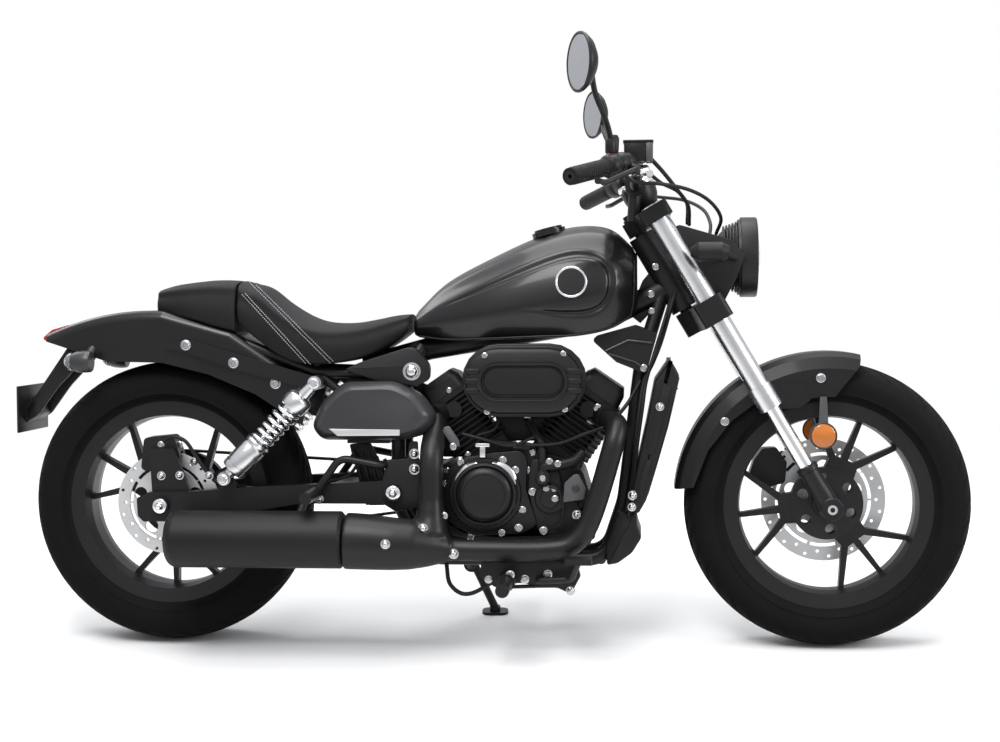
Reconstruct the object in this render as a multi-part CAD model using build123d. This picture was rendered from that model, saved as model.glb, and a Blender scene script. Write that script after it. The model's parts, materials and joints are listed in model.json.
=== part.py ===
"""Cruiser motorcycle, parked on its side stand: a full-size assembly of separate pieces.

Bike frame, in millimetres: X forward, Y to the rider's left, Z up, with the rear axle above
the origin and the wheels upright.  The last section leans the whole bike on to its side stand
and puts the origin at the middle of its footprint, on the floor.
Lengths named *_X, *_Y and *_Z are places in the bike frame.
"""
import math
import os

from build123d import *

# ---------------------------------------------------------------- driving dimensions
LEAN_DEG = 8.0              # lean to the left on the side stand
WHEELBASE = 1400.0
RAKE_DEG = 30.5             # steering axis from the vertical
FORK_OFFSET = 45.0          # fork legs ahead of the steering axis, square to it
FORK_SPREAD = 196.0         # between the two fork leg axes
FIT = 0.3                   # gap between pieces that seat on each other
RUNNING = 0.1               # radial gap of a shaft in its bore

# wheels and tyres: 120/80-16 in front, 140/70-16 behind
FRONT_TYRE_R = 299.0
FRONT_TYRE_W = 120.0
REAR_TYRE_R = 301.0
REAR_TYRE_W = 140.0
BEAD_SEAT_R = 203.0         # 16 inch rim
FLANGE_R = 217.0
RIM_INSIDE_R = 187.0
FRONT_RIM_HALF_W = 46.0
REAR_RIM_HALF_W = 54.0
FLANGE_T = 6.0
SPOKE_ARMS = 3
SPOKE_FAN_DEG = 29.0        # side spokes of one arm from its middle one
FRONT_ARM_DEG = 68.0
REAR_ARM_DEG = 30.0
HUB_PLATE_R = 76.0
HUB_R = 33.0
FRONT_HUB_HALF_W = 47.0
REAR_HUB_HALF_W = 52.0
AXLE_R = 10.0
FRONT_DISC_R = 132.0
REAR_DISC_R = 110.0
DISC_T = 4.5
FRONT_DISC_Y = 62.0         # left side
REAR_DISC_Y = -62.0         # right side

# fork, measured along each leg from the front axle
FORK_TUBE_R = 22.5
FORK_COLLAR_R = 26.0
FORK_STANCHION_R = 16.5
FORK_FOOT_R = 21.0
FORK_FOOT_TOP = 102.0
FORK_TUBE_LOW = 240.0
FORK_COLLAR_TOP = 292.0
LOWER_CLAMP_LOW = 448.0
LOWER_CLAMP_H = 52.0
UPPER_CLAMP_LOW = 690.0
UPPER_CLAMP_H = 32.0
STEM_R = 14.0
HEAD_TUBE_R = 30.0
HEAD_GAP = 5.0              # between the head tube and each clamp

# handlebar
BAR_R = 11.1
GRIP_R = 16.5
BAR_CENTRE = (1000.0, 966.0)        # x, z
BAR_HALF_ROUTE = [                  # x, y, z from the clamp to the bar end, right side
    (1000.0, -78.0, 966.0),
    (1006.0, -160.0, 1006.0),
    (992.0, -252.0, 1004.0),
    (954.0, -312.0, 988.0),
    (880.0, -430.0, 960.0),
]
RISER_Y = 42.0
GRIP_LENGTH = 128.0

# engine
CRANK_X, CRANK_Z = 760.0, 296.0
CYLINDER_TILT_DEG = 34.5    # each cylinder from the vertical
CYLINDER_BASE = 150.0       # from the crankshaft along the cylinder
CYLINDER_H = 75.0
HEAD_H = 58.0
HEAD_COVER_H = 42.0
FIN_COUNT = 7
CRANKCASE_HALF_W = 86.0
CLUTCH_X, CLUTCH_Z, CLUTCH_R = 687.0, 327.0, 67.0

# drive belt, left side
FRONT_PULLEY_X, FRONT_PULLEY_Z, FRONT_PULLEY_R = 578.0, 322.0, 42.0
REAR_PULLEY_R = 96.0
BELT_Y, BELT_W, BELT_T = 87.0, 22.0, 5.0

# frame cradle
RAIL_Y, RAIL_Z = 60.0, 186.0

# swingarm
PIVOT_X, PIVOT_Z = 496.0, 330.0
ARM_RIGHT_Y = (-114.0, -90.0)
ARM_LEFT_Y = (102.0, 126.0)
SHOCK_Y = 129.0
SHOCK_LOW = (141.0, 360.0)
SHOCK_HIGH = (335.0, 561.0)

# exhaust
MUFFLER_Y, MUFFLER_Z, MUFFLER_R = -182.0, 240.0, 59.0
MUFFLER_REAR_X, MUFFLER_FRONT_X = 32.0, 402.0
HEADER_R = 23.0

# side stand
STAND_PIVOT = (636.0, 122.0, 152.0)
STAND_SPLAY_DEG = 24.0      # stand's swing plane from the bike's middle plane
STAND_RAKE_DEG = 18.0       # leg ahead of its lowest reach
STAND_SOLE_T = 6.0

ORIGIN = Vector(0, 0, 0)
CENTRED = (Align.CENTER, Align.CENTER, Align.CENTER)
FROM_BASE = (Align.CENTER, Align.CENTER, Align.MIN)
SIDES = {"right": -1.0, "left": 1.0}


# ---------------------------------------------------------------- shape helpers
def rod(start, end, radius):
    """Solid cylinder from one point to another."""
    a, b = Vector(*start), Vector(*end)
    return Plane(origin=a, z_dir=b - a) * Cylinder(radius, (b - a).length, align=FROM_BASE)


def cone(start, end, radius_a, radius_b):
    """Solid cone frustum from one point to another."""
    a, b = Vector(*start), Vector(*end)
    return Plane(origin=a, z_dir=b - a) * Cone(radius_a, radius_b, (b - a).length, align=FROM_BASE)


def pipe(route, radius, bend):
    """Round bar along straight runs joined by tangent arcs; bend is one radius, or one per corner."""
    path = FilletPolyline(*route, radius=bend) if len(route) > 2 else Line(*route)
    return sweep(Plane(origin=path @ 0, z_dir=path % 0) * Circle(radius), path=path)


def flat(points, corner=0.0):
    """Face in the XY plane from a closed outline, with one corner radius or one per corner."""
    if corner:
        return make_face(FilletPolyline(*points, radius=corner, close=True))
    return make_face(Polyline(*points, close=True))


def slab(points, low_y, high_y, corner=0.0):
    """Side-view outline of (x, z) points, extruded between two Y places."""
    face = Plane.XZ.offset(-high_y) * flat(points, corner)
    return extrude(face, amount=high_y - low_y)


def turned(points, x, z):
    """Ring about the Y axis through (x, z) from an outline of (radius, y) points."""
    return Pos(x, 0, z) * revolve(flat(points), Axis.Y)


def across(x, z, low_y, high_y, radius):
    """Solid cylinder along Y."""
    return rod((x, low_y, z), (x, high_y, z), radius)


def box(low, high):
    """Box from its lowest to its highest corner."""
    size = [b - a for a, b in zip(low, high)]
    middle = [(a + b) / 2 for a, b in zip(low, high)]
    return Pos(*middle) * Box(*size, align=CENTRED)


def both_sides(shape):
    """A shape and its mirror image in the bike's middle plane."""
    return shape + mirror(shape, about=Plane.XZ)


def joined(*shapes):
    """One body from overlapping shapes."""
    return Part() + list(shapes)


def polar(x, z, radius, angle_deg):
    """Point (x, z) at a radius and angle round a centre, the angle from +X towards +Z."""
    a = math.radians(angle_deg)
    return x + radius * math.cos(a), z + radius * math.sin(a)


# ---------------------------------------------------------------- places worked out from the sizes
RAKE = math.radians(RAKE_DEG)
FORK_UP = Vector(-math.sin(RAKE), 0, math.cos(RAKE))
FORK_AHEAD = Vector(math.cos(RAKE), 0, math.sin(RAKE))
FRONT_AXLE = Vector(WHEELBASE, 0, FRONT_TYRE_R)
REAR_AXLE = Vector(0, 0, REAR_TYRE_R)
LEG_Y = FORK_SPREAD / 2
HEAD_LOW = LOWER_CLAMP_LOW + LOWER_CLAMP_H + HEAD_GAP
HEAD_HIGH = UPPER_CLAMP_LOW - HEAD_GAP


def on_fork(s, y=0.0, ahead=0.0):
    """Point at distance s up the fork from the front axle."""
    return FRONT_AXLE + FORK_UP * s + FORK_AHEAD * ahead + Vector(0, y, 0)


def on_stem(s, y=0.0):
    """Point on the steering axis, level with distance s up the fork."""
    return on_fork(s, y, -FORK_OFFSET)


def stem_plane(s):
    """Plane square to the steering axis: its x points ahead, its y to the left."""
    return Plane(origin=on_stem(s), x_dir=FORK_AHEAD, z_dir=FORK_UP)


def on_cylinder(side, s, across_axis=0.0):
    """Point (x, z) at distance s from the crankshaft up a cylinder, side +1 the front one."""
    a = math.radians(CYLINDER_TILT_DEG) * side
    return (CRANK_X + s * math.sin(a) + across_axis * math.cos(a),
            CRANK_Z + s * math.cos(a) - across_axis * math.sin(a))


def cylinder_plane(side, s):
    """Plane square to a cylinder, its x along the bike and its y to the left."""
    a = math.radians(CYLINDER_TILT_DEG) * side
    x, z = on_cylinder(side, s)
    return Plane(origin=(x, 0, z), x_dir=(math.cos(a), 0, -math.sin(a)),
                 z_dir=(math.sin(a), 0, math.cos(a)))


# ---------------------------------------------------------------- wheels
def tyre(radius, width, rim_half_w):
    """Solid tyre: round crown, bulging sides, bead seated inside the rim's flanges."""
    half = width / 2
    crown = radius - half * 0.80
    bead = rim_half_w - FLANGE_T - FIT
    side = [
        ThreePointArc((crown, -half), (radius, 0), (crown, half)),
        ThreePointArc((crown, half), (FLANGE_R + 16, half - 3), (FLANGE_R + 2, rim_half_w + 2)),
        Line((FLANGE_R + 2, rim_half_w + 2), (FLANGE_R + 1, bead)),
        Line((FLANGE_R + 1, bead), (BEAD_SEAT_R + FIT, bead)),
        Line((BEAD_SEAT_R + FIT, bead), (BEAD_SEAT_R + FIT, -bead)),
        Line((BEAD_SEAT_R + FIT, -bead), (FLANGE_R + 1, -bead)),
        Line((FLANGE_R + 1, -bead), (FLANGE_R + 2, -rim_half_w - 2)),
        ThreePointArc((FLANGE_R + 2, -rim_half_w - 2), (FLANGE_R + 16, 3 - half), (crown, -half)),
    ]
    return revolve(make_face(Wire(side)), Axis.Y)


SPOKE_TABLE = [
    # root radius, root angle, tip angle, root width, tip width
    (92.0, -13.0, -SPOKE_FAN_DEG, 15.0, 10.0),
    (98.0, 0.0, 0.0, 15.0, 10.0),
    (92.0, 13.0, SPOKE_FAN_DEG, 15.0, 10.0),
]


def cast_wheel(rim_half_w, hub_half_w, arm_deg):
    """Rim barrel, pierced hub plate and three arms that each fan into three spokes."""
    well = rim_half_w - FLANGE_T
    barrel = flat([
        (RIM_INSIDE_R, -rim_half_w), (FLANGE_R, -rim_half_w), (FLANGE_R, -well),
        (BEAD_SEAT_R, -well), (BEAD_SEAT_R, well), (FLANGE_R, well),
        (FLANGE_R, rim_half_w), (RIM_INSIDE_R, rim_half_w),
        (RIM_INSIDE_R - 5, rim_half_w * 0.4), (RIM_INSIDE_R - 5, -rim_half_w * 0.4),
    ])
    hub = flat([
        (AXLE_R + RUNNING, -hub_half_w), (HUB_R, -hub_half_w), (HUB_R, -20), (HUB_PLATE_R, -15),
        (HUB_PLATE_R, 15), (HUB_R, 20), (HUB_R, hub_half_w), (AXLE_R + RUNNING, hub_half_w),
    ])
    wheel = revolve(barrel, Axis.Y) + revolve(hub, Axis.Y)
    for arm in range(SPOKE_ARMS):
        middle = arm_deg + arm * 360.0 / SPOKE_ARMS
        root = [polar(0, 0, 66, middle - 30), polar(0, 0, 104, middle - 17),
                polar(0, 0, 104, middle + 17), polar(0, 0, 66, middle + 30)]
        wheel += slab(root, -14, 14)
        for root_r, root_deg, tip_deg, root_w, tip_w in SPOKE_TABLE:
            a = Vector(*polar(0, 0, root_r, middle + root_deg))
            b = Vector(*polar(0, 0, RIM_INSIDE_R + 2, middle + tip_deg))
            out = (b - a).normalized()
            side = Vector(-out.Y, out.X)
            corners = [a + side * root_w / 2, b + side * tip_w / 2,
                       b - side * tip_w / 2, a - side * root_w / 2]
            wheel += slab([(p.X, p.Y) for p in corners], -11, 11)
    for k in range(2 * SPOKE_ARMS):
        x, z = polar(0, 0, 54, arm_deg + 30 + k * 180.0 / SPOKE_ARMS)
        wheel -= across(x, z, -30, 30, 11)
    return wheel


def brake_disc(radius, track, hole_count, y, hub_y):
    """Drilled brake track on a slotted carrier, with the spacer that holds it to the hub at hub_y."""
    low, high = -DISC_T / 2, DISC_T / 2
    inside = radius - track
    outer = revolve(flat([(inside, low), (radius, low), (radius, high), (inside, high)]), Axis.Y)
    carrier = revolve(flat([(AXLE_R + RUNNING, low), (inside - 7, low),
                            (inside - 7, high), (AXLE_R + RUNNING, high)]), Axis.Y)
    lugs = []
    for k in range(10):
        a, b = (polar(0, 0, r, k * 36.0) for r in (inside - 12, inside + 4))
        lugs.append(slab([(a[0] - 4, a[1] - 2), (b[0] - 4, b[1] - 2),
                          (b[0] + 4, b[1] + 2), (a[0] + 4, a[1] + 2)], low, high))
    spacer = flat([(AXLE_R + RUNNING, 0), (40, 0), (40, hub_y - y), (AXLE_R + RUNNING, hub_y - y)])
    disc = joined(outer, carrier, revolve(spacer, Axis.Y), *lugs)
    for k in range(hole_count):
        x, z = polar(0, 0, radius - track * (0.3 if k % 2 else 0.65), k * 360.0 / hole_count)
        disc -= across(x, z, -DISC_T, DISC_T, 3.5)
    for k in range(5):
        x, z = polar(0, 0, (HUB_R + inside) / 2 + 4, 18 + k * 72.0)
        disc -= across(x, z, -DISC_T, DISC_T, 14)
    return disc.moved(Pos(0, y, 0))


def front_wheel_pieces():
    at = Pos(*FRONT_AXLE)
    disc = brake_disc(FRONT_DISC_R, 30.0, 30, FRONT_DISC_Y, FRONT_HUB_HALF_W + FIT)
    return {
        "front_tyre": tyre(FRONT_TYRE_R, FRONT_TYRE_W, FRONT_RIM_HALF_W).moved(at),
        "front_rim": cast_wheel(FRONT_RIM_HALF_W, FRONT_HUB_HALF_W, FRONT_ARM_DEG).moved(at),
        "front_disc": disc.moved(at),
    }


def rear_wheel_pieces():
    at = Pos(*REAR_AXLE)
    disc = brake_disc(REAR_DISC_R, 26.0, 24, REAR_DISC_Y, -REAR_HUB_HALF_W - FIT)
    pulley = across(0, 0, BELT_Y - BELT_W / 2 - 1, BELT_Y + BELT_W / 2 - 2, REAR_PULLEY_R)
    pulley += across(0, 0, REAR_HUB_HALF_W + FIT, BELT_Y, 42)
    for k in range(5):
        x, z = polar(0, 0, 66, k * 72.0)
        pulley -= across(x, z, BELT_Y - BELT_W, BELT_Y + BELT_W, 17)
    pulley -= across(0, 0, 0, 120, AXLE_R + RUNNING)
    return {
        "rear_tyre": tyre(REAR_TYRE_R, REAR_TYRE_W, REAR_RIM_HALF_W).moved(at),
        "rear_rim": cast_wheel(REAR_RIM_HALF_W, REAR_HUB_HALF_W, REAR_ARM_DEG).moved(at),
        "rear_disc": disc.moved(at),
        "rear_pulley": pulley.moved(at),
    }


# ---------------------------------------------------------------- fork and front end
def fork_pieces():
    clamp_outline = [(-26, -22), (0, -46), (FORK_OFFSET - 32, -LEG_Y - 36),
                     (FORK_OFFSET + 32, -LEG_Y - 36), (FORK_OFFSET + 28, -40),
                     (FORK_OFFSET + 28, 40), (FORK_OFFSET + 32, LEG_Y + 36),
                     (FORK_OFFSET - 32, LEG_Y + 36), (0, 46), (-26, 22)]
    leg_bores = [rod(on_fork(LOWER_CLAMP_LOW - 60, s * LEG_Y), on_fork(760, s * LEG_Y),
                     FORK_TUBE_R + FIT) for s in SIDES.values()]
    lower = extrude(stem_plane(LOWER_CLAMP_LOW) * flat(clamp_outline, 12), amount=LOWER_CLAMP_H)
    stem = rod(on_stem(LOWER_CLAMP_LOW + 4), on_stem(UPPER_CLAMP_LOW + UPPER_CLAMP_H), STEM_R)
    lower = joined(lower, stem) - leg_bores
    upper = extrude(stem_plane(UPPER_CLAMP_LOW) * flat(clamp_outline, 12), amount=UPPER_CLAMP_H)
    upper -= leg_bores
    upper -= rod(on_stem(600), on_stem(800), STEM_R + FIT)
    for s in SIDES.values():
        upper += rod((BAR_CENTRE[0] - 4, s * RISER_Y, 893), (BAR_CENTRE[0], s * RISER_Y, BAR_CENTRE[1]), 13)
        upper += across(*BAR_CENTRE, s * RISER_Y - 15, s * RISER_Y + 15, 21)
    upper -= across(*BAR_CENTRE, -90, 90, BAR_R + FIT)
    upper += rod(on_stem(UPPER_CLAMP_LOW + UPPER_CLAMP_H + FIT),
                 on_stem(UPPER_CLAMP_LOW + UPPER_CLAMP_H + 14), 17)
    upper += rod(on_stem(UPPER_CLAMP_LOW + UPPER_CLAMP_H - 4), on_stem(UPPER_CLAMP_LOW + UPPER_CLAMP_H + 6),
                 20) - rod(on_stem(UPPER_CLAMP_LOW), on_stem(UPPER_CLAMP_LOW + UPPER_CLAMP_H + 0.3), STEM_R + FIT)

    tube = rod(on_fork(FORK_TUBE_LOW), on_fork(UPPER_CLAMP_LOW + UPPER_CLAMP_H + 3), FORK_TUBE_R)
    tube += rod(on_fork(FORK_TUBE_LOW), on_fork(FORK_COLLAR_TOP), FORK_COLLAR_R)
    stanchion = rod(on_fork(FORK_FOOT_TOP), on_fork(FORK_TUBE_LOW), FORK_STANCHION_R)
    foot = rod(on_fork(-14), on_fork(FORK_FOOT_TOP), FORK_FOOT_R)
    foot += rod((WHEELBASE, -FORK_FOOT_R - 2, FRONT_TYRE_R), (WHEELBASE, FORK_FOOT_R + 2, FRONT_TYRE_R), 24)
    foot -= rod((WHEELBASE, -60, FRONT_TYRE_R), (WHEELBASE, 60, FRONT_TYRE_R), AXLE_R + FIT)
    legs = {}
    for name, shape in (("fork_tubes", tube), ("fork_stanchions", stanchion), ("fork_feet", foot)):
        legs[name] = [shape.moved(Pos(0, s * LEG_Y, 0)) for s in SIDES.values()]
    left_foot = legs["fork_feet"][1]
    lug = slab([(1368, 352), (1330, 345), (1300, 372), (1312, 402), (1352, 392)],
               FRONT_DISC_Y + 16, LEG_Y, 6)
    legs["fork_feet"][1] = joined(left_foot, lug)
    axle_end = LEG_Y + FORK_FOOT_R + 8
    axle = rod((WHEELBASE, -axle_end, FRONT_TYRE_R), (WHEELBASE, axle_end, FRONT_TYRE_R), AXLE_R)
    axle -= rod((WHEELBASE, -axle_end - 1, FRONT_TYRE_R), (WHEELBASE, axle_end + 1, FRONT_TYRE_R), 5)
    sliders = [joined(a, b) for a, b in zip(legs.pop("fork_stanchions"), legs.pop("fork_feet"))]
    pieces = {"lower_clamp": lower, "upper_clamp": upper, "front_axle": axle, "fork_sliders": sliders}
    pieces.update(legs)
    return pieces


def handlebar_pieces():
    route = BAR_HALF_ROUTE[::-1] + [(x, -y, z) for x, y, z in BAR_HALF_ROUTE]
    bends = [45.0, 60.0, 45.0, 45.0, 45.0, 45.0, 60.0, 45.0]
    bar = pipe(route, BAR_R, bends)
    end = Vector(*BAR_HALF_ROUTE[-1])
    inward = (Vector(*BAR_HALF_ROUTE[-2]) - end).normalized()
    bar -= both_sides(rod(end - inward, end + inward * 60, 4))
    sleeve = rod(end, end + inward * GRIP_LENGTH, GRIP_R) - rod(end - inward, end + inward * 200, BAR_R + FIT)
    return {"handlebar": bar, "grips": [sleeve, mirror(sleeve, about=Plane.XZ)]}


def control_pieces():
    """Brake and clutch controls, mirrors and the round instrument."""
    end = Vector(*BAR_HALF_ROUTE[-1])
    inward = (Vector(*BAR_HALF_ROUTE[-2]) - end).normalized()
    perch_at = end + inward * (GRIP_LENGTH + 42)
    perch = rod(end + inward * (GRIP_LENGTH + 1), perch_at + inward * 11, 19)
    root = perch_at + Vector(34, 4, -10)
    perch += rod(perch_at, root, 9)
    perch += rod(root - Vector(0, 0, 9), root + Vector(0, 0, 9), 11)
    lever = pipe([tuple(root), tuple(root + Vector(0, -34, -2)), tuple(end + Vector(62, 38, -8)),
                  tuple(end + Vector(52, 2, -8))], 5, [16, 30])
    stem_foot = perch_at + Vector(4, -2, 14)
    perch += rod(perch_at, stem_foot + Vector(0, 0, 10), 9)
    control = joined(perch, lever)
    control -= rod(end, end + inward * 300, BAR_R + FIT)
    tank_at = perch_at + Vector(40, 36, 30)
    reservoir = joined(rod(perch_at + Vector(8, 6, 0), tank_at - Vector(0, 0, 16), 9),
                       rod(tank_at - Vector(0, 0, 22), tank_at + Vector(0, 0, 16), 24),
                       rod(tank_at + Vector(0, 0, 15), tank_at + Vector(0, 0, 21), 26))
    reservoir -= rod(end, end + inward * 300, BAR_R + FIT)
    reservoir -= perch
    brake = joined(control, reservoir)
    clutch = mirror(control, about=Plane.XZ)

    mirror_at = Vector(905, -443, 1170)
    head = Plane(origin=mirror_at, x_dir=(0.30, -0.954, 0), z_dir=(-0.954, -0.30, 0)) * Pos(0, 0, -16)
    body = head * loft([Plane.XY * Ellipse(30, 26), Plane.XY.offset(13) * Ellipse(58, 50),
                        Plane.XY.offset(26) * Ellipse(60, 52)])
    foot = stem_foot + Vector(0, 0, 10.3)
    stem = pipe([tuple(foot), tuple(foot + Vector(-2, 0, 40)), (928, -368, 1100), tuple(mirror_at)],
                6, [14, 30])
    boot = rod(foot, foot + Vector(-1, 0, 26), 10)
    glass_side = joined(body, stem, boot)

    dial = Plane(origin=(1010, 0, 930), x_dir=(0, 1, 0), z_dir=(-0.62, 0, 0.785))
    pod = dial * Pos(0, 0, -8) * Cylinder(46, 30, align=FROM_BASE)
    pod += dial * Pos(0, 0, 18) * Cylinder(50, 8, align=FROM_BASE)
    pod = pod.moved(Pos(46, 0, 22))
    bracket = slab([(1010, 897), (1036, 890), (1072, 930), (1050, 946)], -16, 16, 4)
    return {"brake_control": brake, "clutch_control": clutch,
            "mirrors": [glass_side, mirror(glass_side, about=Plane.XZ)],
            "instrument": joined(pod, bracket)}


HEADLIGHT_X, HEADLIGHT_Z, HEADLIGHT_R = 1228.0, 818.0, 84.0


def headlight_pieces():
    x, z, r = HEADLIGHT_X, HEADLIGHT_Z, HEADLIGHT_R
    shell = loft([Plane(origin=(x + dx, 0, z), x_dir=(0, 1, 0), z_dir=(1, 0, 0)) * Circle(rr)
                  for dx, rr in ((-62, 30), (-48, 56), (-24, 73), (0, 79))])
    for k in range(4):
        shell += rod((x - 34 + k * 9, 0, z), (x - 31 + k * 9, 0, z), 76 + k * 2)
    shell += rod((x - 0.5, 0, z), (x + 6, 0, z), 79)
    shell += rod((x + 5, 0, z), (x + 26, 0, z), r)
    shell -= rod((x + 6, 0, z), (x + 30, 0, z), r - 9)
    rim_r = r - 9 - FIT
    rise = 14.0
    ball_r = (rim_r ** 2 + rise ** 2) / (2 * rise)
    arc_end = (20 + rise, 0)
    middle = math.asin(rim_r / ball_r) / 2
    arc_mid = (20 + rise - ball_r * (1 - math.cos(middle)), ball_r * math.sin(middle))
    dome = Wire([Line((6 + FIT, 0), (6 + FIT, rim_r)), Line((6 + FIT, rim_r), (20, rim_r)),
                 ThreePointArc((20, rim_r), arc_mid, arc_end), Line(arc_end, (6 + FIT, 0))])
    lens = revolve(make_face(dome), Axis.X).moved(Pos(x, 0, z))
    ears = []
    for s in SIDES.values():
        grip = rod(on_fork(575, s * LEG_Y), on_fork(660, s * LEG_Y), FORK_TUBE_R + 5)
        plate = slab([(1070, 842), (1104, 790), (1200, 800), (1222, 812), (1222, 826), (1200, 836)],
                     s * 92 - 3, s * 92 + 3, 5)
        peg = across(x - 18, z, min(s * 60, s * 95), max(s * 60, s * 95), 10)
        ear = joined(grip, plate, peg)
        ear -= rod(on_fork(500, s * LEG_Y), on_fork(760, s * LEG_Y), FORK_TUBE_R + FIT)
        ears.append(ear - shell)
    lamps = []
    for s in SIDES.values():
        stalk = rod((1205, s * 95.5, 815), (1172, s * 138, 826), 7)
        body = rod((1128, s * 146, 826), (1176, s * 146, 826), 20)
        body += cone((1128, s * 146, 826), (1112, s * 146, 826), 20, 9)
        lens_part = cone((1176, s * 146, 826), (1190, s * 146, 826), 19, 12)
        lamps.append(joined(stalk, body, lens_part))
    return {"headlight_shell": shell, "headlight_lens": lens, "headlight_ears": ears,
            "front_indicators": lamps}


def front_fender_pieces():
    outer, sheet, half = 321.0, 3.0, LEG_Y - FORK_COLLAR_R - 1.7
    skirt = 228.0
    profile = flat([(skirt, -half), (outer - 34, -half), (outer - 10, -half + 12), (outer, -half + 32),
                    (outer, half - 32), (outer - 10, half - 12), (outer - 34, half), (skirt, half),
                    (skirt, half - sheet), (outer - 35, half - sheet), (outer - 12, half - sheet - 11),
                    (outer - sheet, half - 34), (outer - sheet, 34 - half), (outer - 12, 11 + sheet - half),
                    (outer - 35, sheet - half), (skirt, sheet - half)])
    ring = revolve(profile, Axis.Y).moved(Pos(*FRONT_AXLE))
    side = [(1062, 332), (1084, 332), (1120, 338), (1150, 415), (1200, 478), (1245, 512), (1278, 535),
            (1300, 505), (1340, 500), (1400, 512), (1425, 545), (1462, 590), (1470, 640), (1100, 700)]
    shell = ring & slab(side, -100, 100)
    pads = []
    for s in SIDES.values():
        low, high = sorted((s * (half - 1), s * (half + 1.4)))
        pads.append(slab([(1240, 530), (1262, 500), (1338, 504), (1360, 520), (1352, 560), (1258, 560)],
                         low, high, 5))
    fender = joined(shell, *pads)
    strap_outline = [(1366, 432), (1404, 432), (1400, 470), (1398, 530), (1376, 530), (1370, 470)]
    strap = slab(strap_outline, half + FIT, half + 4, 5)
    reflector = joined(strap, across(1386, 447, half + 1, half + 12, 27))
    reflectors = [reflector, mirror(reflector, about=Plane.XZ)]
    return {"front_fender": fender, "reflectors": reflectors}


def front_caliper_pieces():
    y = FRONT_DISC_Y
    body = slab([(1240, 348), (1270, 324), (1318, 336), (1322, 380), (1300, 412), (1270, 410), (1252, 386)],
                y - 18, y + 24, 10)
    body -= across(WHEELBASE, FRONT_TYRE_R, y - 7.3, y + 7.3, FRONT_DISC_R + 5)
    body -= slab([(1290, 300), (1420, 300), (1420, 460), (1290, 460)], y + 15.5, y + 60)
    return {"front_caliper": body}


# ---------------------------------------------------------------- frame and swingarm
def frame_pieces():
    head_tube = rod(on_stem(HEAD_LOW), on_stem(HEAD_HIGH), HEAD_TUBE_R)
    backbone = pipe([tuple(on_stem(560)), (930, 0, 688), (560, 0, 628), (420, 0, 590)], 24, 120)
    gusset = slab([(1066, 738), (1040, 800), (1015, 770), (985, 700), (1010, 680)], -9, 9)
    bars = [head_tube, backbone, gusset]
    for s in SIDES.values():
        bars.append(pipe([tuple(on_stem(580)), (1012, s * RAIL_Y * 0.6, 600), (974, s * RAIL_Y * 0.7, 300),
                          (936, s * RAIL_Y, RAIL_Z), (560, s * RAIL_Y, RAIL_Z), (498, s * RAIL_Y, 300),
                          (500, s * RAIL_Y, 560), (545, s * 20, 632)],
                         15, [60, 150, 50, 50, 80, 40]))
    crossers = [across(926, RAIL_Z, -RAIL_Y, RAIL_Y, 12), across(575, RAIL_Z, -RAIL_Y, RAIL_Y, 12),
                across(500, 520, -RAIL_Y, RAIL_Y, 12)]
    plates = [slab([(474, 296), (520, 292), (530, 340), (522, 400), (486, 400), (466, 350)],
                   *sorted((s * RAIL_Y, s * 74)), 6) for s in SIDES.values()]
    bracket = stand_bracket()
    main = joined(*bars, *crossers, *plates, bracket)
    main -= rod(on_stem(300), on_stem(900), STEM_R + RUNNING)
    main -= across(PIVOT_X, PIVOT_Z, -200, 200, 11)

    rails = []
    for s in SIDES.values():
        rails.append(pipe([(500, s * 88, 575), (330, s * 88, 582), (180, s * 78, 640), (-20, s * 70, 690)],
                          11, [60, 60]))
        rails.append(pipe([(500, s * 88, 440), (330, s * 88, 582)], 9, 10))
        rails.append(across(*SHOCK_HIGH, *sorted((s * 80, s * (SHOCK_Y - 11 - FIT))), 15))
        rails.append(across(*SHOCK_HIGH, *sorted((s * 80, s * (SHOCK_Y + 14))), 6))
    rails += [across(500, 575, -88, 88, 11), across(300, 590, -88, 88, 10), across(10, 681, -72, 72, 9)]
    rails += [box((392, -76, 430), (482, 76, 584)), box((410, -100.7, 470), (470, 100.7, 530))]
    return {"frame_main": main, "frame_rear": joined(*rails)}


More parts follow.
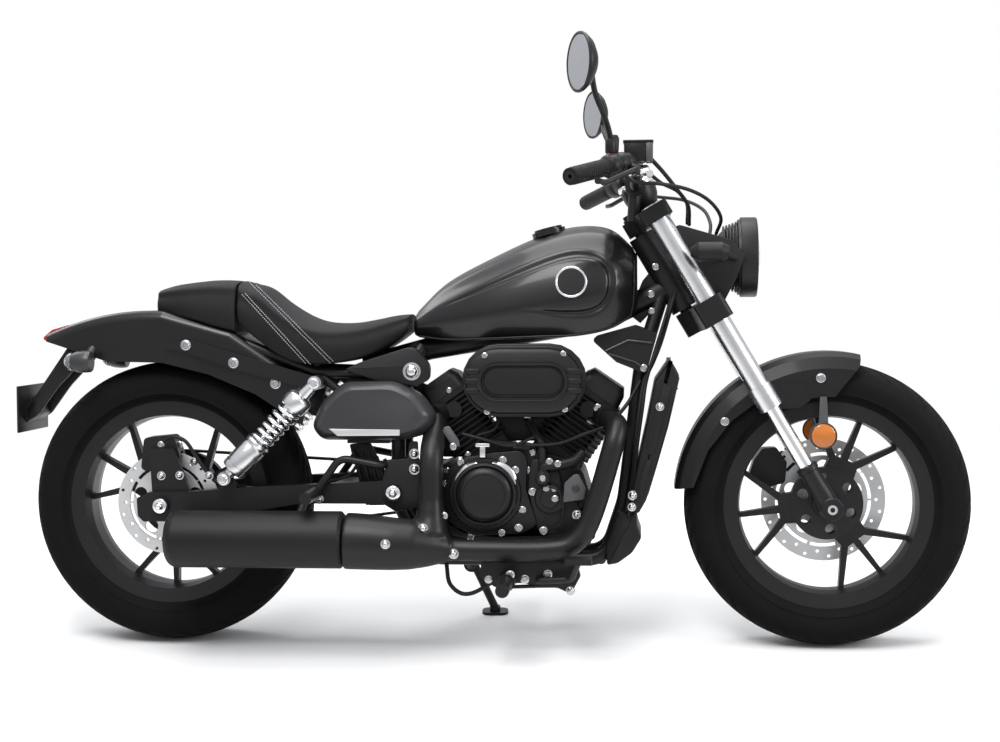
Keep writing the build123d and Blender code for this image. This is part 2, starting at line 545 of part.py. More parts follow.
def swingarm_pieces():
    right = slab([(-52, 278), (-40, 266), (60, 268), (300, 306), (496, 306), (516, 330), (496, 356),
                  (320, 346), (180, 340), (60, 330), (-30, 328), (-54, 316)], *ARM_RIGHT_Y, 8)
    left = slab([(-52, 278), (-40, 266), (60, 268), (300, 306), (496, 306), (516, 330), (496, 356),
                 (320, 346), (180, 340), (60, 330), (-30, 328), (-54, 316)], *ARM_LEFT_Y, 8)
    pivot = across(PIVOT_X, PIVOT_Z, ARM_RIGHT_Y[0], -RAIL_Y - 15 - FIT, 24)
    pivot += across(PIVOT_X, PIVOT_Z, 100, ARM_LEFT_Y[1], 24)
    brace = slab([(118, 330), (141, 380), (165, 338)], -114, -100, 6)
    brace_left = slab([(118, 330), (141, 380), (165, 338)], 104, 118, 6)
    tie = slab([(352, 312), (400, 317), (400, 341), (352, 341)], ARM_RIGHT_Y[0] + 2, ARM_LEFT_Y[1] - 2, 5)
    inner = SHOCK_Y - 11 - FIT
    lugs = [across(*SHOCK_LOW, -inner, -100, 9), across(*SHOCK_LOW, 104, inner, 9),
            across(*SHOCK_LOW, -SHOCK_Y - 14, -100, 6), across(*SHOCK_LOW, 104, SHOCK_Y + 14, 6)]
    arm = joined(right, left, pivot, brace, brace_left, tie, *lugs)
    arm -= across(PIVOT_X, PIVOT_Z, -200, 200, 11)
    arm -= across(0, REAR_TYRE_R, -200, 200, AXLE_R + FIT)
    room = BELT_Y - BELT_W / 2 - 3, ARM_LEFT_Y[0]
    arm -= belt_shape(8.0, *room) - belt_shape(-4.0, *room)

    pin = across(PIVOT_X, PIVOT_Z, ARM_RIGHT_Y[0] - 6, ARM_LEFT_Y[1] + 6, 10.7)
    pin += across(PIVOT_X, PIVOT_Z, ARM_RIGHT_Y[0] - 12, ARM_RIGHT_Y[0] - FIT, 17)
    pin += across(PIVOT_X, PIVOT_Z, ARM_LEFT_Y[1] + FIT, ARM_LEFT_Y[1] + 12, 17)
    axle = across(0, REAR_TYRE_R, ARM_RIGHT_Y[0] - 10, ARM_LEFT_Y[1] + 10, AXLE_R)
    axle += across(0, REAR_TYRE_R, ARM_RIGHT_Y[0] - 14, ARM_RIGHT_Y[0] - FIT, 17)
    axle += across(0, REAR_TYRE_R, ARM_LEFT_Y[1] + FIT, ARM_LEFT_Y[1] + 14, 17)
    return {"swingarm": arm, "swingarm_pivot": pin, "rear_axle": axle}


def belt_shape(thick, low_y, high_y):
    """Racetrack round the two pulleys, standing out by thick from them."""
    big, small = REAR_PULLEY_R + thick, FRONT_PULLEY_R + thick
    dx, dz = FRONT_PULLEY_X, FRONT_PULLEY_Z - REAR_TYRE_R
    reach = math.hypot(dx, dz)
    tilt = math.degrees(math.atan2(dz, dx))
    spread = math.degrees(math.acos((big - small) / reach))
    top, low = tilt + spread, tilt - spread
    quad = [polar(0, REAR_TYRE_R, big, top), polar(FRONT_PULLEY_X, FRONT_PULLEY_Z, small, top),
            polar(FRONT_PULLEY_X, FRONT_PULLEY_Z, small, low), polar(0, REAR_TYRE_R, big, low)]
    return joined(slab(quad, low_y, high_y), across(0, REAR_TYRE_R, low_y, high_y, big),
                  across(FRONT_PULLEY_X, FRONT_PULLEY_Z, low_y, high_y, small))


def drive_pieces():
    low, high = BELT_Y - BELT_W / 2, BELT_Y + BELT_W / 2
    belt = belt_shape(BELT_T, low, high) - belt_shape(FIT, low - 5, high + 5)
    pulley = across(FRONT_PULLEY_X, FRONT_PULLEY_Z, 70 + FIT, high + 1, FRONT_PULLEY_R - FIT)
    return {"drive_belt": [belt, pulley]}


def shock_pieces():
    a, b = Vector(SHOCK_LOW[0], 0, SHOCK_LOW[1]), Vector(SHOCK_HIGH[0], 0, SHOCK_HIGH[1])
    length = (b - a).length
    eye = SHOCK_Y - 13, SHOCK_Y + 9
    lower_eye = across(0, 0, -11, 11, 14)
    coils = 7
    pitch = 19.0
    first = 66.0
    outline = [(0, 10), (12, 10), (17, 20), (20, 34), (27, 34), (27, 60), (15, 60)]
    for k in range(coils):
        at = first + k * pitch
        outline += [(15, at), (26, at + 2.5), (27.5, at + 5), (26, at + 7.5), (15, at + 10)]
    top = first + coils * pitch
    outline += [(15, top), (27, top + 2), (27, top + 20), (18, top + 28), (12, length - 10), (0, length - 10)]
    body = Plane.XZ * flat([(r, h) for r, h in outline])
    body = revolve(body, Axis.Z)
    lean = Plane(origin=a, x_dir=(0, 1, 0), z_dir=b - a)
    shock = joined(lean * body, across(a.X, a.Z, -11, 11, 14), across(b.X, b.Z, -11, 11, 14))
    shock -= across(a.X, a.Z, -20, 20, 6 + FIT)
    shock -= across(b.X, b.Z, -20, 20, 6 + FIT)
    return {"shocks": [shock.moved(Pos(0, s * SHOCK_Y, 0)) for s in SIDES.values()]}


# ---------------------------------------------------------------- engine
def crankcase_pieces():
    outline = [(556, 268), (600, 214), (660, 202), (850, 202), (902, 236), (912, 300), (890, 372),
               (842, 404), (760, 420), (676, 404), (622, 396), (556, 372), (540, 322)]
    case = slab(outline, -CRANKCASE_HALF_W, CRANKCASE_HALF_W, 18)
    for side in (-1, 1):
        case += extrude(cylinder_plane(side, 60) * Rectangle(112, 122), amount=CYLINDER_BASE - 60)
        case -= extrude(cylinder_plane(side, CYLINDER_BASE) * Rectangle(140, 200), amount=90)
    case -= slab([(530, 250), (530, 400), (646, 400), (646, 250)], 70, 120)
    right = slab([(604, 300), (622, 256), (670, 232), (800, 226), (862, 250), (880, 306), (856, 366),
                  (800, 396), (700, 410), (636, 384)], -104, -CRANKCASE_HALF_W, 24)
    clutch = across(CLUTCH_X, CLUTCH_Z, -116, -CRANKCASE_HALF_W, CLUTCH_R + 14)
    steps = [(CLUTCH_R, -124), (CLUTCH_R - 9, -128), (CLUTCH_R - 30, -124)]
    clutch += across(CLUTCH_X, CLUTCH_Z, -124, -110, CLUTCH_R)
    clutch -= across(CLUTCH_X, CLUTCH_Z, -130, -119, CLUTCH_R - 9)
    clutch += across(CLUTCH_X, CLUTCH_Z, -125, -110, CLUTCH_R - 22)
    cover = joined(right, clutch)
    left = slab([(660, 250), (700, 228), (820, 226), (872, 262), (880, 316), (850, 372), (780, 396),
                 (700, 388), (660, 350)], CRANKCASE_HALF_W, 108, 24)
    left += across(790, 306, 100, 122, 62)
    pulley_cover = across(FRONT_PULLEY_X, FRONT_PULLEY_Z, 103, 116, 58)
    pulley_cover += slab([(578, 268), (680, 262), (680, 372), (578, 378)], 103, 112)
    left = joined(left, pulley_cover)
    return {"crankcase": case, "right_cover": cover, "left_cover": left}


def cylinder_pieces():
    cylinders, heads, covers = [], [], []
    for side in (1, -1):
        base = cylinder_plane(side, CYLINDER_BASE + FIT)
        barrel = [extrude(base * RectangleRounded(92, 96, 20), amount=CYLINDER_H - FIT)]
        step = (CYLINDER_H - 6) / (FIN_COUNT - 1)
        for k in range(FIN_COUNT):
            layer = cylinder_plane(side, CYLINDER_BASE + 2 + k * step)
            barrel.append(extrude(layer * RectangleRounded(126, 128, 22), amount=3.2))
        cylinders.append(joined(*barrel))
        low = CYLINDER_BASE + CYLINDER_H + FIT
        head = [extrude(cylinder_plane(side, low) * RectangleRounded(96, 100, 18), amount=HEAD_H - FIT)]
        for k in range(4):
            layer = cylinder_plane(side, low + 4 + k * 11)
            head.append(extrude(layer * RectangleRounded(128, 130, 22), amount=3.6))
        head.append(extrude(cylinder_plane(side, low + HEAD_H - 12) * RectangleRounded(112, 122, 20),
                            amount=12 - FIT))
        for s in SIDES.values():
            x, z = on_cylinder(side, low + 24, 0)
            head.append(rod((x, s * 40, z), (x, s * 72, z), 17))
        head = joined(*head)
        port = exhaust_port(side)
        head += rod(port + Vector(-side * 16, 34, 8), port, HEADER_R + 3)
        head -= cylinders[-1]
        heads.append(head)
        top = low + HEAD_H
        cover = loft([cylinder_plane(side, top + FIT) * RectangleRounded(102, 116, 18),
                      cylinder_plane(side, top + HEAD_COVER_H - 16) * RectangleRounded(96, 110, 18),
                      cylinder_plane(side, top + HEAD_COVER_H) * RectangleRounded(76, 88, 16)], ruled=True)
        covers.append(cover)
    return {"cylinders": cylinders, "cylinder_heads": heads, "rocker_covers": covers}


def exhaust_port(side):
    """Mouth of a head's exhaust port: ahead of the front one, behind the rear one."""
    x, z = on_cylinder(side, CYLINDER_BASE + CYLINDER_H + 34, side * 44)
    return Vector(x, -80, z)


def exhaust_pieces():
    a, b = exhaust_port(1), exhaust_port(-1)
    front = pipe([tuple(a - Vector(-4, 8, 2)), tuple(a + Vector(18, -44, -14)), (944, -150, 400),
                  (908, -150, 222), (640, -156, 215), (470, MUFFLER_Y, MUFFLER_Z), (404, MUFFLER_Y, MUFFLER_Z)],
                 HEADER_R, [24, 36, 50, 70, 50])
    rear = pipe([tuple(b - Vector(4, 8, 2)), tuple(b + Vector(-14, -40, -14)), (568, -150, 385),
                 (576, -156, 262), (500, MUFFLER_Y + 6, 236), (440, MUFFLER_Y, MUFFLER_Z)],
                HEADER_R, [24, 36, 30, 50])
    collector = cone((470, MUFFLER_Y, MUFFLER_Z), (402, MUFFLER_Y, MUFFLER_Z), 28, 50)
    collector += cone((540, -174, 230), (468, MUFFLER_Y, MUFFLER_Z), 23.5, 28.5)
    pipes = joined(front, rear, collector)
    x0, x1, r = MUFFLER_REAR_X, MUFFLER_FRONT_X, MUFFLER_R
    half = Wire([Line((x0, 0), (x0, r - 22)), ThreePointArc((x0, r - 22), (x0 + 7, r - 6), (x0 + 24, r)),
                 Line((x0 + 24, r), (x1 - 6, r)), Line((x1 - 6, r), (x1, r - 6)),
                 Line((x1, r - 6), (x1, 0)), Line((x1, 0), (x0, 0))])
    can = revolve(make_face(half), Axis.X).moved(Pos(0, MUFFLER_Y, MUFFLER_Z))
    can -= rod((x0 - 5, MUFFLER_Y, MUFFLER_Z), (x0 + 40, MUFFLER_Y, MUFFLER_Z), 17)
    can += rod((300, MUFFLER_Y + 30, MUFFLER_Z + 40), (310, -118, 318), 8)
    return {"exhaust_pipes": pipes, "muffler": can}


def intake_pieces():
    outline = [(642, 530), (642, 600), (682, 640), (858, 640), (898, 600), (898, 530), (858, 490), (682, 490)]
    box_out = Plane.XZ.offset(98) * (Pos(770, 565) * SlotOverall(256, 150))
    body = extrude(box_out, amount=66)
    body = chamfer(body.faces().sort_by(Axis.Y)[0].edges(), 9)
    body -= extrude(Plane.XZ.offset(158) * (Pos(776, 563) * SlotOverall(172, 70)), amount=10)
    duct = across(770, 540, -99, 0, 32)
    throat = [across(770, 540, -98 + FIT, 40, 30)]
    carb = joined(across(770, 540, -98 + FIT, 60, 30), rod((770, 0, 545), (770, 0, 480), 26),
                  rod((672, 16, 530), (850, 16, 530), 20), rod((770, 45, 470), (770, 45, 560), 22))
    return {"air_cleaner": body, "carburettor": carb}


# ---------------------------------------------------------------- bodywork
TANK_SECTIONS = [
    # x, bottom z, half width at the bottom, widest z, widest half width, shoulder z, shoulder half width, top z
    (532, 656, 40, 676, 52, 692, 40, 704),
    (600, 648, 66, 690, 84, 742, 56, 768),
    (700, 650, 92, 708, 116, 786, 74, 822),
    (800, 654, 104, 726, 132, 824, 86, 866),
    (880, 657, 104, 740, 134, 842, 88, 886),
    (950, 672, 86, 756, 116, 836, 76, 878),
    (1004, 704, 48, 768, 68, 812, 46, 836),
]


def tank_section(x, low_z, low_w, mid_z, mid_w, top_z, top_w, crown_z):
    """Closed section across the tank: flat floor, swelling sides and a crowned top."""
    bulge_low = (mid_w * 0.5 + low_w * 0.5 + (mid_w - low_w) * 0.28, (low_z + mid_z) / 2)
    edges = [Line((-low_w, low_z), (low_w, low_z)),
             ThreePointArc((low_w, low_z), bulge_low, (mid_w, mid_z)),
             ThreePointArc((mid_w, mid_z), ((mid_w + top_w) / 2 + (mid_w - top_w) * 0.2,
                                            mid_z + (top_z - mid_z) * 0.62), (top_w, top_z)),
             ThreePointArc((top_w, top_z), (0, crown_z), (-top_w, top_z)),
             ThreePointArc((-top_w, top_z), (-(mid_w + top_w) / 2 - (mid_w - top_w) * 0.2,
                                             mid_z + (top_z - mid_z) * 0.62), (-mid_w, mid_z)),
             ThreePointArc((-mid_w, mid_z), (-bulge_low[0], bulge_low[1]), (-low_w, low_z))]
    face = make_face(Wire(edges))
    return Plane(origin=(x, 0, 0), x_dir=(0, 1, 0), z_dir=(1, 0, 0)) * face


def tank_pieces():
    body = loft([tank_section(*row) for row in TANK_SECTIONS])
    body -= rod(on_stem(400), on_stem(760), HEAD_TUBE_R + 7)
    body -= rod(on_stem(660), on_stem(800), HEAD_TUBE_R + 16)
    body -= pipe([tuple(on_stem(560)), (930, 0, 688), (560, 0, 628), (420, 0, 590)], 25, 120)
    body -= box((480, -25, 600), (1050, 25, 690))
    tilt = Plane(origin=(818, 0, 868), x_dir=(1, 0, 0.25), z_dir=(-0.25, 0, 1))
    cap = tilt * Cylinder(36, 10, align=FROM_BASE)
    cap += tilt * Pos(0, 0, 9) * Cylinder(30, 6, align=FROM_BASE)
    body -= tilt * Pos(0, 0, 0) * Cylinder(36 + FIT, 60, align=FROM_BASE)
    return {"fuel_tank": body, "filler_cap": cap.moved(Pos(-0.07, 0, FIT))}


RIDER_SEAT_SECTIONS = [
    # x, bottom z, bottom half width, shoulder z, shoulder half width, top z
    (160, 690, 92, 742, 88, 776),
    (215, 642, 104, 722, 100, 762),
    (290, 600, 120, 672, 122, 704),
    (360, 598, 126, 656, 128, 684),
    (450, 618, 104, 668, 104, 692),
    (526, 666, 62, 690, 60, 701),
]
PILLION_SECTIONS = [
    (-22, 708, 56, 744, 52, 758),
    (40, 697, 86, 748, 80, 771),
    (100, 680, 94, 752, 88, 776),
    (160.7, 664, 94, 752, 88, 777),
]


def seat_section(x, low_z, low_w, top_z, top_w, crown_z):
    """Section across a seat pad: flat base, near-upright sides, crowned top."""
    edges = [Line((-low_w, low_z), (low_w, low_z)),
             ThreePointArc((low_w, low_z), (max(low_w, top_w) + 5, (low_z + top_z) / 2), (top_w, top_z)),
             ThreePointArc((top_w, top_z), (0, crown_z), (-top_w, top_z)),
             ThreePointArc((-top_w, top_z), (-max(low_w, top_w) - 5, (low_z + top_z) / 2), (-low_w, low_z))]
    return Plane(origin=(x, 0, 0), x_dir=(0, 1, 0), z_dir=(1, 0, 0)) * make_face(Wire(edges))


def seat_pieces():
    rider = loft([seat_section(*row) for row in RIDER_SEAT_SECTIONS])
    pillion = loft([seat_section(*row) for row in PILLION_SECTIONS])
    return {"rider_seat": rider, "pillion_seat": pillion.moved(Pos(-1, 0, 0))}


FENDER_HALF_W = 96.0
FENDER_SHEET = 4.0
FENDER_OUTLINE = [(0, 712), (150, 670), (320, 556), (300, 470), (200, 535), (100, 577), (0, 602),
                  (-120, 605), (-252, 648), (-252, 664)]


def fender_prism(inset, half_w, corner):
    """Rear fender's side outline, drawn in by inset at the top and back, with its top corners rounded."""
    points = [(x + (inset if x < -200 else 0), z - inset) for x, z in FENDER_OUTLINE]
    rear = ThreePointArc(points[-1], (-120, 705 - inset), points[0])
    outline = Wire([rear] + [Line(a, b) for a, b in zip(points, points[1:])])
    solid = extrude(Plane.XZ.offset(-half_w) * make_face(outline), amount=2 * half_w)
    tops = [e for e in solid.edges() if abs(abs(e.center().Y) - half_w) < 1
            and any(abs(e.center().X - x) < 8 and e.center().Z > z - inset
                    for x, z in ((-126, 680), (75, 680), (235, 600)))]
    return fillet(tops, corner)


def rear_fender_pieces():
    outer = fender_prism(0.0, FENDER_HALF_W, 19)
    inner = fender_prism(FENDER_SHEET, FENDER_HALF_W - FENDER_SHEET, 15)
    for drop in (0, 40, 80):
        outer -= inner.moved(Pos(0 if drop == 0 else 0, 0, -drop))
    return {"rear_fender": outer}


def trim_pieces():
    struts = []
    for s in SIDES.values():
        struts.append(slab([(-16, 640), (60, 652), (330, 572), (345, 552), (320, 545), (150, 590), (60, 622)],
                           s * 100.5 - 4 + 0.2 * s, s * 100.5 + 4 + 0.2 * s, 6))
    lamp = slab([(-284, 648), (-256, 672), (-214, 684), (-214, 652)], -48, 48, 5)
    arm = slab([(-176, 668), (-204, 668), (-204, 636), (-356, 466), (-340, 450), (-176, 636)], -9, 9)
    plate = joined(arm, across(-190, 656, FIT - 92, 92 - FIT, 8), box((-362, -90, 430), (-354, 90, 540)),
                   box((-356, -40, 446), (-322, 40, 500)))
    lamps = []
    for s in SIDES.values():
        stalk = rod((-160, s * 97, 622), (-160, s * 118, 606), 7)
        body = rod((-178, s * 120, 606), (-142, s * 120, 606), 20)
        body += cone((-142, s * 120, 606), (-128, s * 120, 606), 20, 9)
        lens_part = cone((-178, s * 120, 606), (-192, s * 120, 606), 19, 12)
        lamps.append(joined(stalk, body, lens_part))
    return {"fender_struts": struts, "tail_lamp": lamp, "plate_bracket": plate, "rear_indicators": lamps}


def cover_pieces():
    side = slab([(323, 470), (395, 560), (500, 562), (560, 535), (590, 490), (545, 447), (350, 442)],
                -146, -101, 14)
    side = chamfer(side.faces().sort_by(Axis.Y)[0].edges(), 6)
    neck = slab([(905, 650), (1000, 676), (1046, 660), (1022, 575), (960, 600)], 48, 72, 8)
    return {"side_covers": [side, mirror(side, about=Plane.XZ)],
            "neck_covers": [neck, mirror(neck, about=Plane.XZ)]}


def radiator_pieces():
    outline = [(1078, 608), (1098, 575), (1050, 400), (1016, 270), (990, 296), (1038, 560)]
    shroud = slab(outline, -110, 110, 5)
    core = Plane(origin=(1052, 0, 430), x_dir=(0, 1, 0), z_dir=(0.965, 0, -0.26))
    shroud -= core * Box(190, 230, 40)
    panel = core * Pos(0, 0, -6) * Box(189, 229, 16)
    bracket = [box((990, -52, 548), (1045, 52, 564)), box((960, -52, 322), (1012, 52, 338))]
    return {"radiator": joined(shroud, panel, *bracket)}


def caliper_pieces():
    y = REAR_DISC_Y
    body = slab([(-52, 372), (-44, 442), (20, 448), (34, 400), (20, 372)], y - 26, y + 20, 10)
    body -= across(0, REAR_TYRE_R, y - 7.3, y + 7.3, REAR_DISC_R + 5)
    bracket = slab([(-24, 318), (60, 318), (24, 420), (-30, 420)], -99, -86, 6)
    bracket -= across(0, REAR_TYRE_R, -200, 200, 24)
    return {"rear_caliper": joined(body, bracket)}


def foot_pieces():
    pegs = []
    for s in SIDES.values():
        low, high = sorted((s * 118, s * 126))
        plate = slab([(680, 186), (880, 186), (886, 160), (866, 122), (840, 134), (760, 144), (690, 138),
                      (676, 160)], low, high, 6)
        bars = [across(x, 165, *sorted((s * 40, s * 120)), 8) for x in (720, 850)]
        peg = joined(across(735, 152, *sorted((s * 120, s * 270)), 14), across(735, 152, *sorted((s * 120, s * 175)), 18))
        pegs.append(joined(plate, *bars, peg))
        hanger = pipe([(505, s * 66, 388), (470, s * 128, 388), (385, s * 128, 404), (330, s * 128, 326)],
                      8, [16, 30])
        pegs.append(joined(hanger, across(332, 330, *sorted((s * 122, s * 232)), 13)))
    pedal = joined(pipe([(800, -126, 152), (800, -145, 152), (868, -160, 158), (884, -204, 200)], 7, [8, 20]),
                   box((858, -232, 198), (912, -186, 210)))
    lever = joined(pipe([(800, 126, 152), (800, 145, 152), (880, 156, 160), (900, 160, 206)], 6, [8, 20]),
                   rod((900, 140, 206), (900, 196, 206), 9))
    return {"footpegs": pegs, "foot_controls": [pedal, lever]}


# ---------------------------------------------------------------- side stand
def stand_frame():
    """Pivot point, swing axis and leg direction of the side stand, with the leg's length to the floor."""
    splay, rake = math.radians(STAND_SPLAY_DEG), math.radians(STAND_RAKE_DEG)
    axis = Vector(0, math.cos(splay), math.sin(splay))
    down = Vector(0, math.sin(splay), -math.cos(splay))
    leg = down * math.cos(rake) + Vector(1, 0, 0) * math.sin(rake)
    lean = math.radians(LEAN_DEG)
    floor = -70.0 * (1 - math.cos(lean)) / math.cos(lean)
    up = Vector(0, -math.sin(lean), math.cos(lean))
    length = (Vector(*STAND_PIVOT).dot(up) + 0.7) / -leg.dot(up)
    return Vector(*STAND_PIVOT), axis, leg, up, length


def stand_pieces():
    pivot, axis, leg, up, length = stand_frame()
    foot = pivot + leg * length
    boss = rod(pivot - axis * 9, pivot + axis * 9, 15)
    bar = rod(pivot, foot + up * 12, 9)
    sole = Plane(origin=foot, x_dir=(1, 0, 0), z_dir=up) * extrude(RectangleRounded(58, 40, 16), amount=STAND_SOLE_T)
    stand = joined(boss, bar, sole, rod(foot + up * 2, foot + up * 16, 12))
    stand -= rod(pivot - axis * 50, pivot + axis * 50, 6 + RUNNING)
    return {"side_stand": stand}


def stand_bracket():
    """Lug under the left frame rail, with the pin that the stand swings on."""
    pivot, axis, leg, up, length = stand_frame()
    clear = 9 + FIT
    lug = joined(rod(pivot - axis * 22, pivot - axis * clear, 17), rod(pivot - axis * 18, (636, RAIL_Y, RAIL_Z), 12))
    lug -= rod(pivot - axis * clear, pivot + axis * 40, 60)
    return joined(lug, rod(pivot - axis * 20, pivot + axis * 14, 6), rod(pivot + axis * clear, pivot + axis * 14, 12))


BODIES = {
    "chassis": [frame_pieces, swingarm_pieces, drive_pieces, shock_pieces, crankcase_pieces, cylinder_pieces,
                exhaust_pieces, intake_pieces, tank_pieces, seat_pieces, rear_fender_pieces, trim_pieces,
                cover_pieces, radiator_pieces, caliper_pieces, foot_pieces],
    "steering": [fork_pieces, handlebar_pieces, control_pieces, headlight_pieces, front_fender_pieces,
                 front_caliper_pieces],
    "front_wheel": [front_wheel_pieces],
    "rear_wheel": [rear_wheel_pieces],
    "side_stand": [stand_pieces],
}


# pieces that are shaped to sit round others: each is cut by the ones named after it
SEATED_ON = {
    "frame_rear": ["frame_main"],
    "rider_seat": ["frame_main", "frame_rear"],
    "pillion_seat": ["frame_rear", "rear_fender"],
    "rear_fender": ["frame_rear", "frame_main"],
    "fender_struts": ["frame_rear", "shocks"],
    "exhaust_pipes": ["cylinder_heads", "muffler"],
    "side_covers": ["exhaust_pipes", "frame_rear"],
    "neck_covers": ["frame_main"],
    "brake_control": ["handlebar"],
    "clutch_control": ["handlebar"],
    "mirrors": ["brake_control", "clutch_control"],
    "instrument": ["upper_clamp", "handlebar"],
    "front_indicators": ["headlight_ears"],
    "tail_lamp": ["rear_fender"],
    "rear_indicators": ["rear_fender"],
    "radiator": ["frame_main"],
    "footpegs": ["frame_main", "swingarm"],
    "foot_controls": ["footpegs", "exhaust_pipes"],
    "shocks": ["swingarm", "frame_rear"],
    "muffler": ["swingarm"],
    "crankcase": ["frame_main"],
    "carburettor": ["cylinder_heads", "cylinders", "air_cleaner"],
    "rear_caliper": ["swingarm", "rear_axle"],
}


def upright_pieces():
    """Every body's pieces in the bike frame, as lists of solids, after the seating cuts."""
    bodies, every = {}, {}
    for body, makers in BODIES.items():
        bodies[body] = []
        for maker in makers:
            for name, shape in maker().items():
                every[name] = [one for part in (shape if isinstance(shape, list) else [shape])
                               for one in part.solids()]
                bodies[body].append(name)
    for name, cutters in SEATED_ON.items():
        tools = [solid for cutter in cutters for solid in every[cutter]]
        kept = []
        for solid in every[name]:
            rest = (solid - tools).solids()
            kept += [r for r in rest if r.volume > 0.02 * solid.volume]
        every[name] = kept
    return bodies, every


# ---------------------------------------------------------------- place and write
def all_pieces():
    """Every body's pieces, each a list of solids, leaned on to the stand with the origin under the middle."""
    lean = Rot(-LEAN_DEG, 0, 0)
    bodies, every = upright_pieces()
    leaned = {body: {name: [s.moved(lean) for s in every[name]] for name in names}
              for body, names in bodies.items()}
    solids = [s for pieces in leaned.values() for shapes in pieces.values() for s in shapes]
    span = Compound(solids).bounding_box()
    shift = Pos(-(span.min.X + span.max.X) / 2, -(span.min.Y + span.max.Y) / 2, -span.min.Z)
    placed = {}
    for body, pieces in leaned.items():
        placed[body] = {name: [s.moved(shift) for s in shapes] for name, shapes in pieces.items()}
    return placed, shift * lean


def main():
    os.makedirs("parts", exist_ok=True)
    placed, _ = all_pieces()
    for pieces in placed.values():
        for name, solids in pieces.items():
            export_step(solids[0] if len(solids) == 1 else Compound(solids), f"parts/{name}.step")


if __name__ == "__main__":
    main()
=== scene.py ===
import bmesh
import bpy
import json
import math
from mathutils import Matrix, Vector
from mathutils.bvhtree import BVHTree


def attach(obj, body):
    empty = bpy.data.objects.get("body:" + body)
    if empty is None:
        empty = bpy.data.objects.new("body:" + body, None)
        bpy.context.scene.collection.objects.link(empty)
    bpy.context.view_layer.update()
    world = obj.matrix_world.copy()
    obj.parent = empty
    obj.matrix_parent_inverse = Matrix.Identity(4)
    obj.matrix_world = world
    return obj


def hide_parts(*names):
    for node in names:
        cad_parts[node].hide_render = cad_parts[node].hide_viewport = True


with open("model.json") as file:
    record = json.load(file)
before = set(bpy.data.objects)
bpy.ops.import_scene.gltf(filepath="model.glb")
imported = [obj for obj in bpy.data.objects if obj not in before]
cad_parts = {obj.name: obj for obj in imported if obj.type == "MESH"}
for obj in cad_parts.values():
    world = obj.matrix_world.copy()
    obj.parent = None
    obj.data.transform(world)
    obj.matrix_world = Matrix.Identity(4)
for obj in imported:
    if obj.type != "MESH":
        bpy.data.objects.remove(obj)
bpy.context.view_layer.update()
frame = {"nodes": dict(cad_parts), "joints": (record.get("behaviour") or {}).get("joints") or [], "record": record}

# ---------------------------------------------------------------- the upright bike frame
# New pieces are modelled upright, in millimetres: X forward, Y to the rider's left, Z up from
# the floor, with the rear axle over the origin.  BIKE leans them into the part's own frame.
MM_PER_M = 1000
REAR_TYRE_R = 301.0
FRONT_TYRE_R = 299.0
WHEELBASE = 1400.0
JOINTS = {joint["name"]: joint for joint in frame["joints"]}
side_axis = Vector(JOINTS["rear_wheel_spin"]["axis"]).normalized()
up_axis = Vector((1, 0, 0)).cross(side_axis).normalized()
rear_axle = Vector(JOINTS["rear_wheel_spin"]["pos_m"])
foot = rear_axle - up_axis * REAR_TYRE_R / MM_PER_M
BIKE = Matrix.Translation(foot) @ Matrix((
    (1, side_axis.x, up_axis.x, 0),
    (0, side_axis.y, up_axis.y, 0),
    (0, side_axis.z, up_axis.z, 0),
    (0, 0, 0, 1),
)) @ Matrix.Scale(1 / MM_PER_M, 4)
TO_BIKE = BIKE.inverted()
RIGHT, LEFT, AHEAD, UP = Vector((0, -1, 0)), Vector((0, 1, 0)), Vector((1, 0, 0)), Vector((0, 0, 1))


# ---------------------------------------------------------------- camera
CAMERA_AT = Vector((1014.0, -3555.0, 728.0))    # bike frame, mm
CAMERA_YAW = math.radians(4.88)
CAMERA_PITCH = math.radians(2.39)
CAMERA_ROLL = math.radians(-0.33)
CAMERA_LENS = 60.05
SENSOR_WIDTH = 36.0
CAMERA_REACH = 60       # metres


def add_object(name, data):
    """A new object in the scene with this mesh, lamp or camera."""
    made = bpy.data.objects.new(name, data)
    bpy.context.scene.collection.objects.link(made)
    return made


def add_camera():
    """Long lens off the bike's right side, turned by its yaw, pitch and roll from a level look along +Y."""
    data = bpy.data.cameras.new("camera")
    data.lens = CAMERA_LENS
    data.sensor_width = SENSOR_WIDTH
    data.clip_end = CAMERA_REACH
    camera = add_object("camera", data)
    turn = (Matrix.Rotation(CAMERA_YAW, 3, "Z") @ Matrix.Rotation(math.pi / 2 - CAMERA_PITCH, 3, "X")
            @ Matrix.Rotation(CAMERA_ROLL, 3, "Z"))
    lean = BIKE.to_3x3() * MM_PER_M
    camera.matrix_world = Matrix.Translation(BIKE @ CAMERA_AT) @ (lean @ turn).to_4x4()
    bpy.context.scene.camera = camera


def shader_nodes(owner):
    """The nodes and links of a material or of the world."""
    owner.use_nodes = True
    return owner.node_tree.nodes, owner.node_tree.links


def add_node(nodes, kind, **inputs):
    """A shader node with the given input values; an underscore in a name stands for a space."""
    node = nodes.new("ShaderNode" + kind)
    for name, value in inputs.items():
        node.inputs[name.replace("_", " ")].default_value = value
    return node


def smooth_ramp(nodes, **ends):
    """Map Range node that eases in and out."""
    ramp = add_node(nodes, "MapRange", **ends)
    ramp.interpolation_type = "SMOOTHSTEP"
    return ramp


def ray_mix(nodes, links, kinds, other, these):
    """Shows one shader to the ray kinds given and the other shader to the rest."""
    paths = add_node(nodes, "LightPath")
    share = paths.outputs[kinds[0]]
    for kind in kinds[1:]:
        either = add_node(nodes, "Math")
        either.operation = "MAXIMUM"
        links.new(share, either.inputs[0])
        links.new(paths.outputs[kind], either.inputs[1])
        share = either.outputs[0]
    mix = add_node(nodes, "MixShader")
    for source, socket in zip((share, other.outputs[0], these.outputs[0]), mix.inputs):
        links.new(source, socket)
    return mix


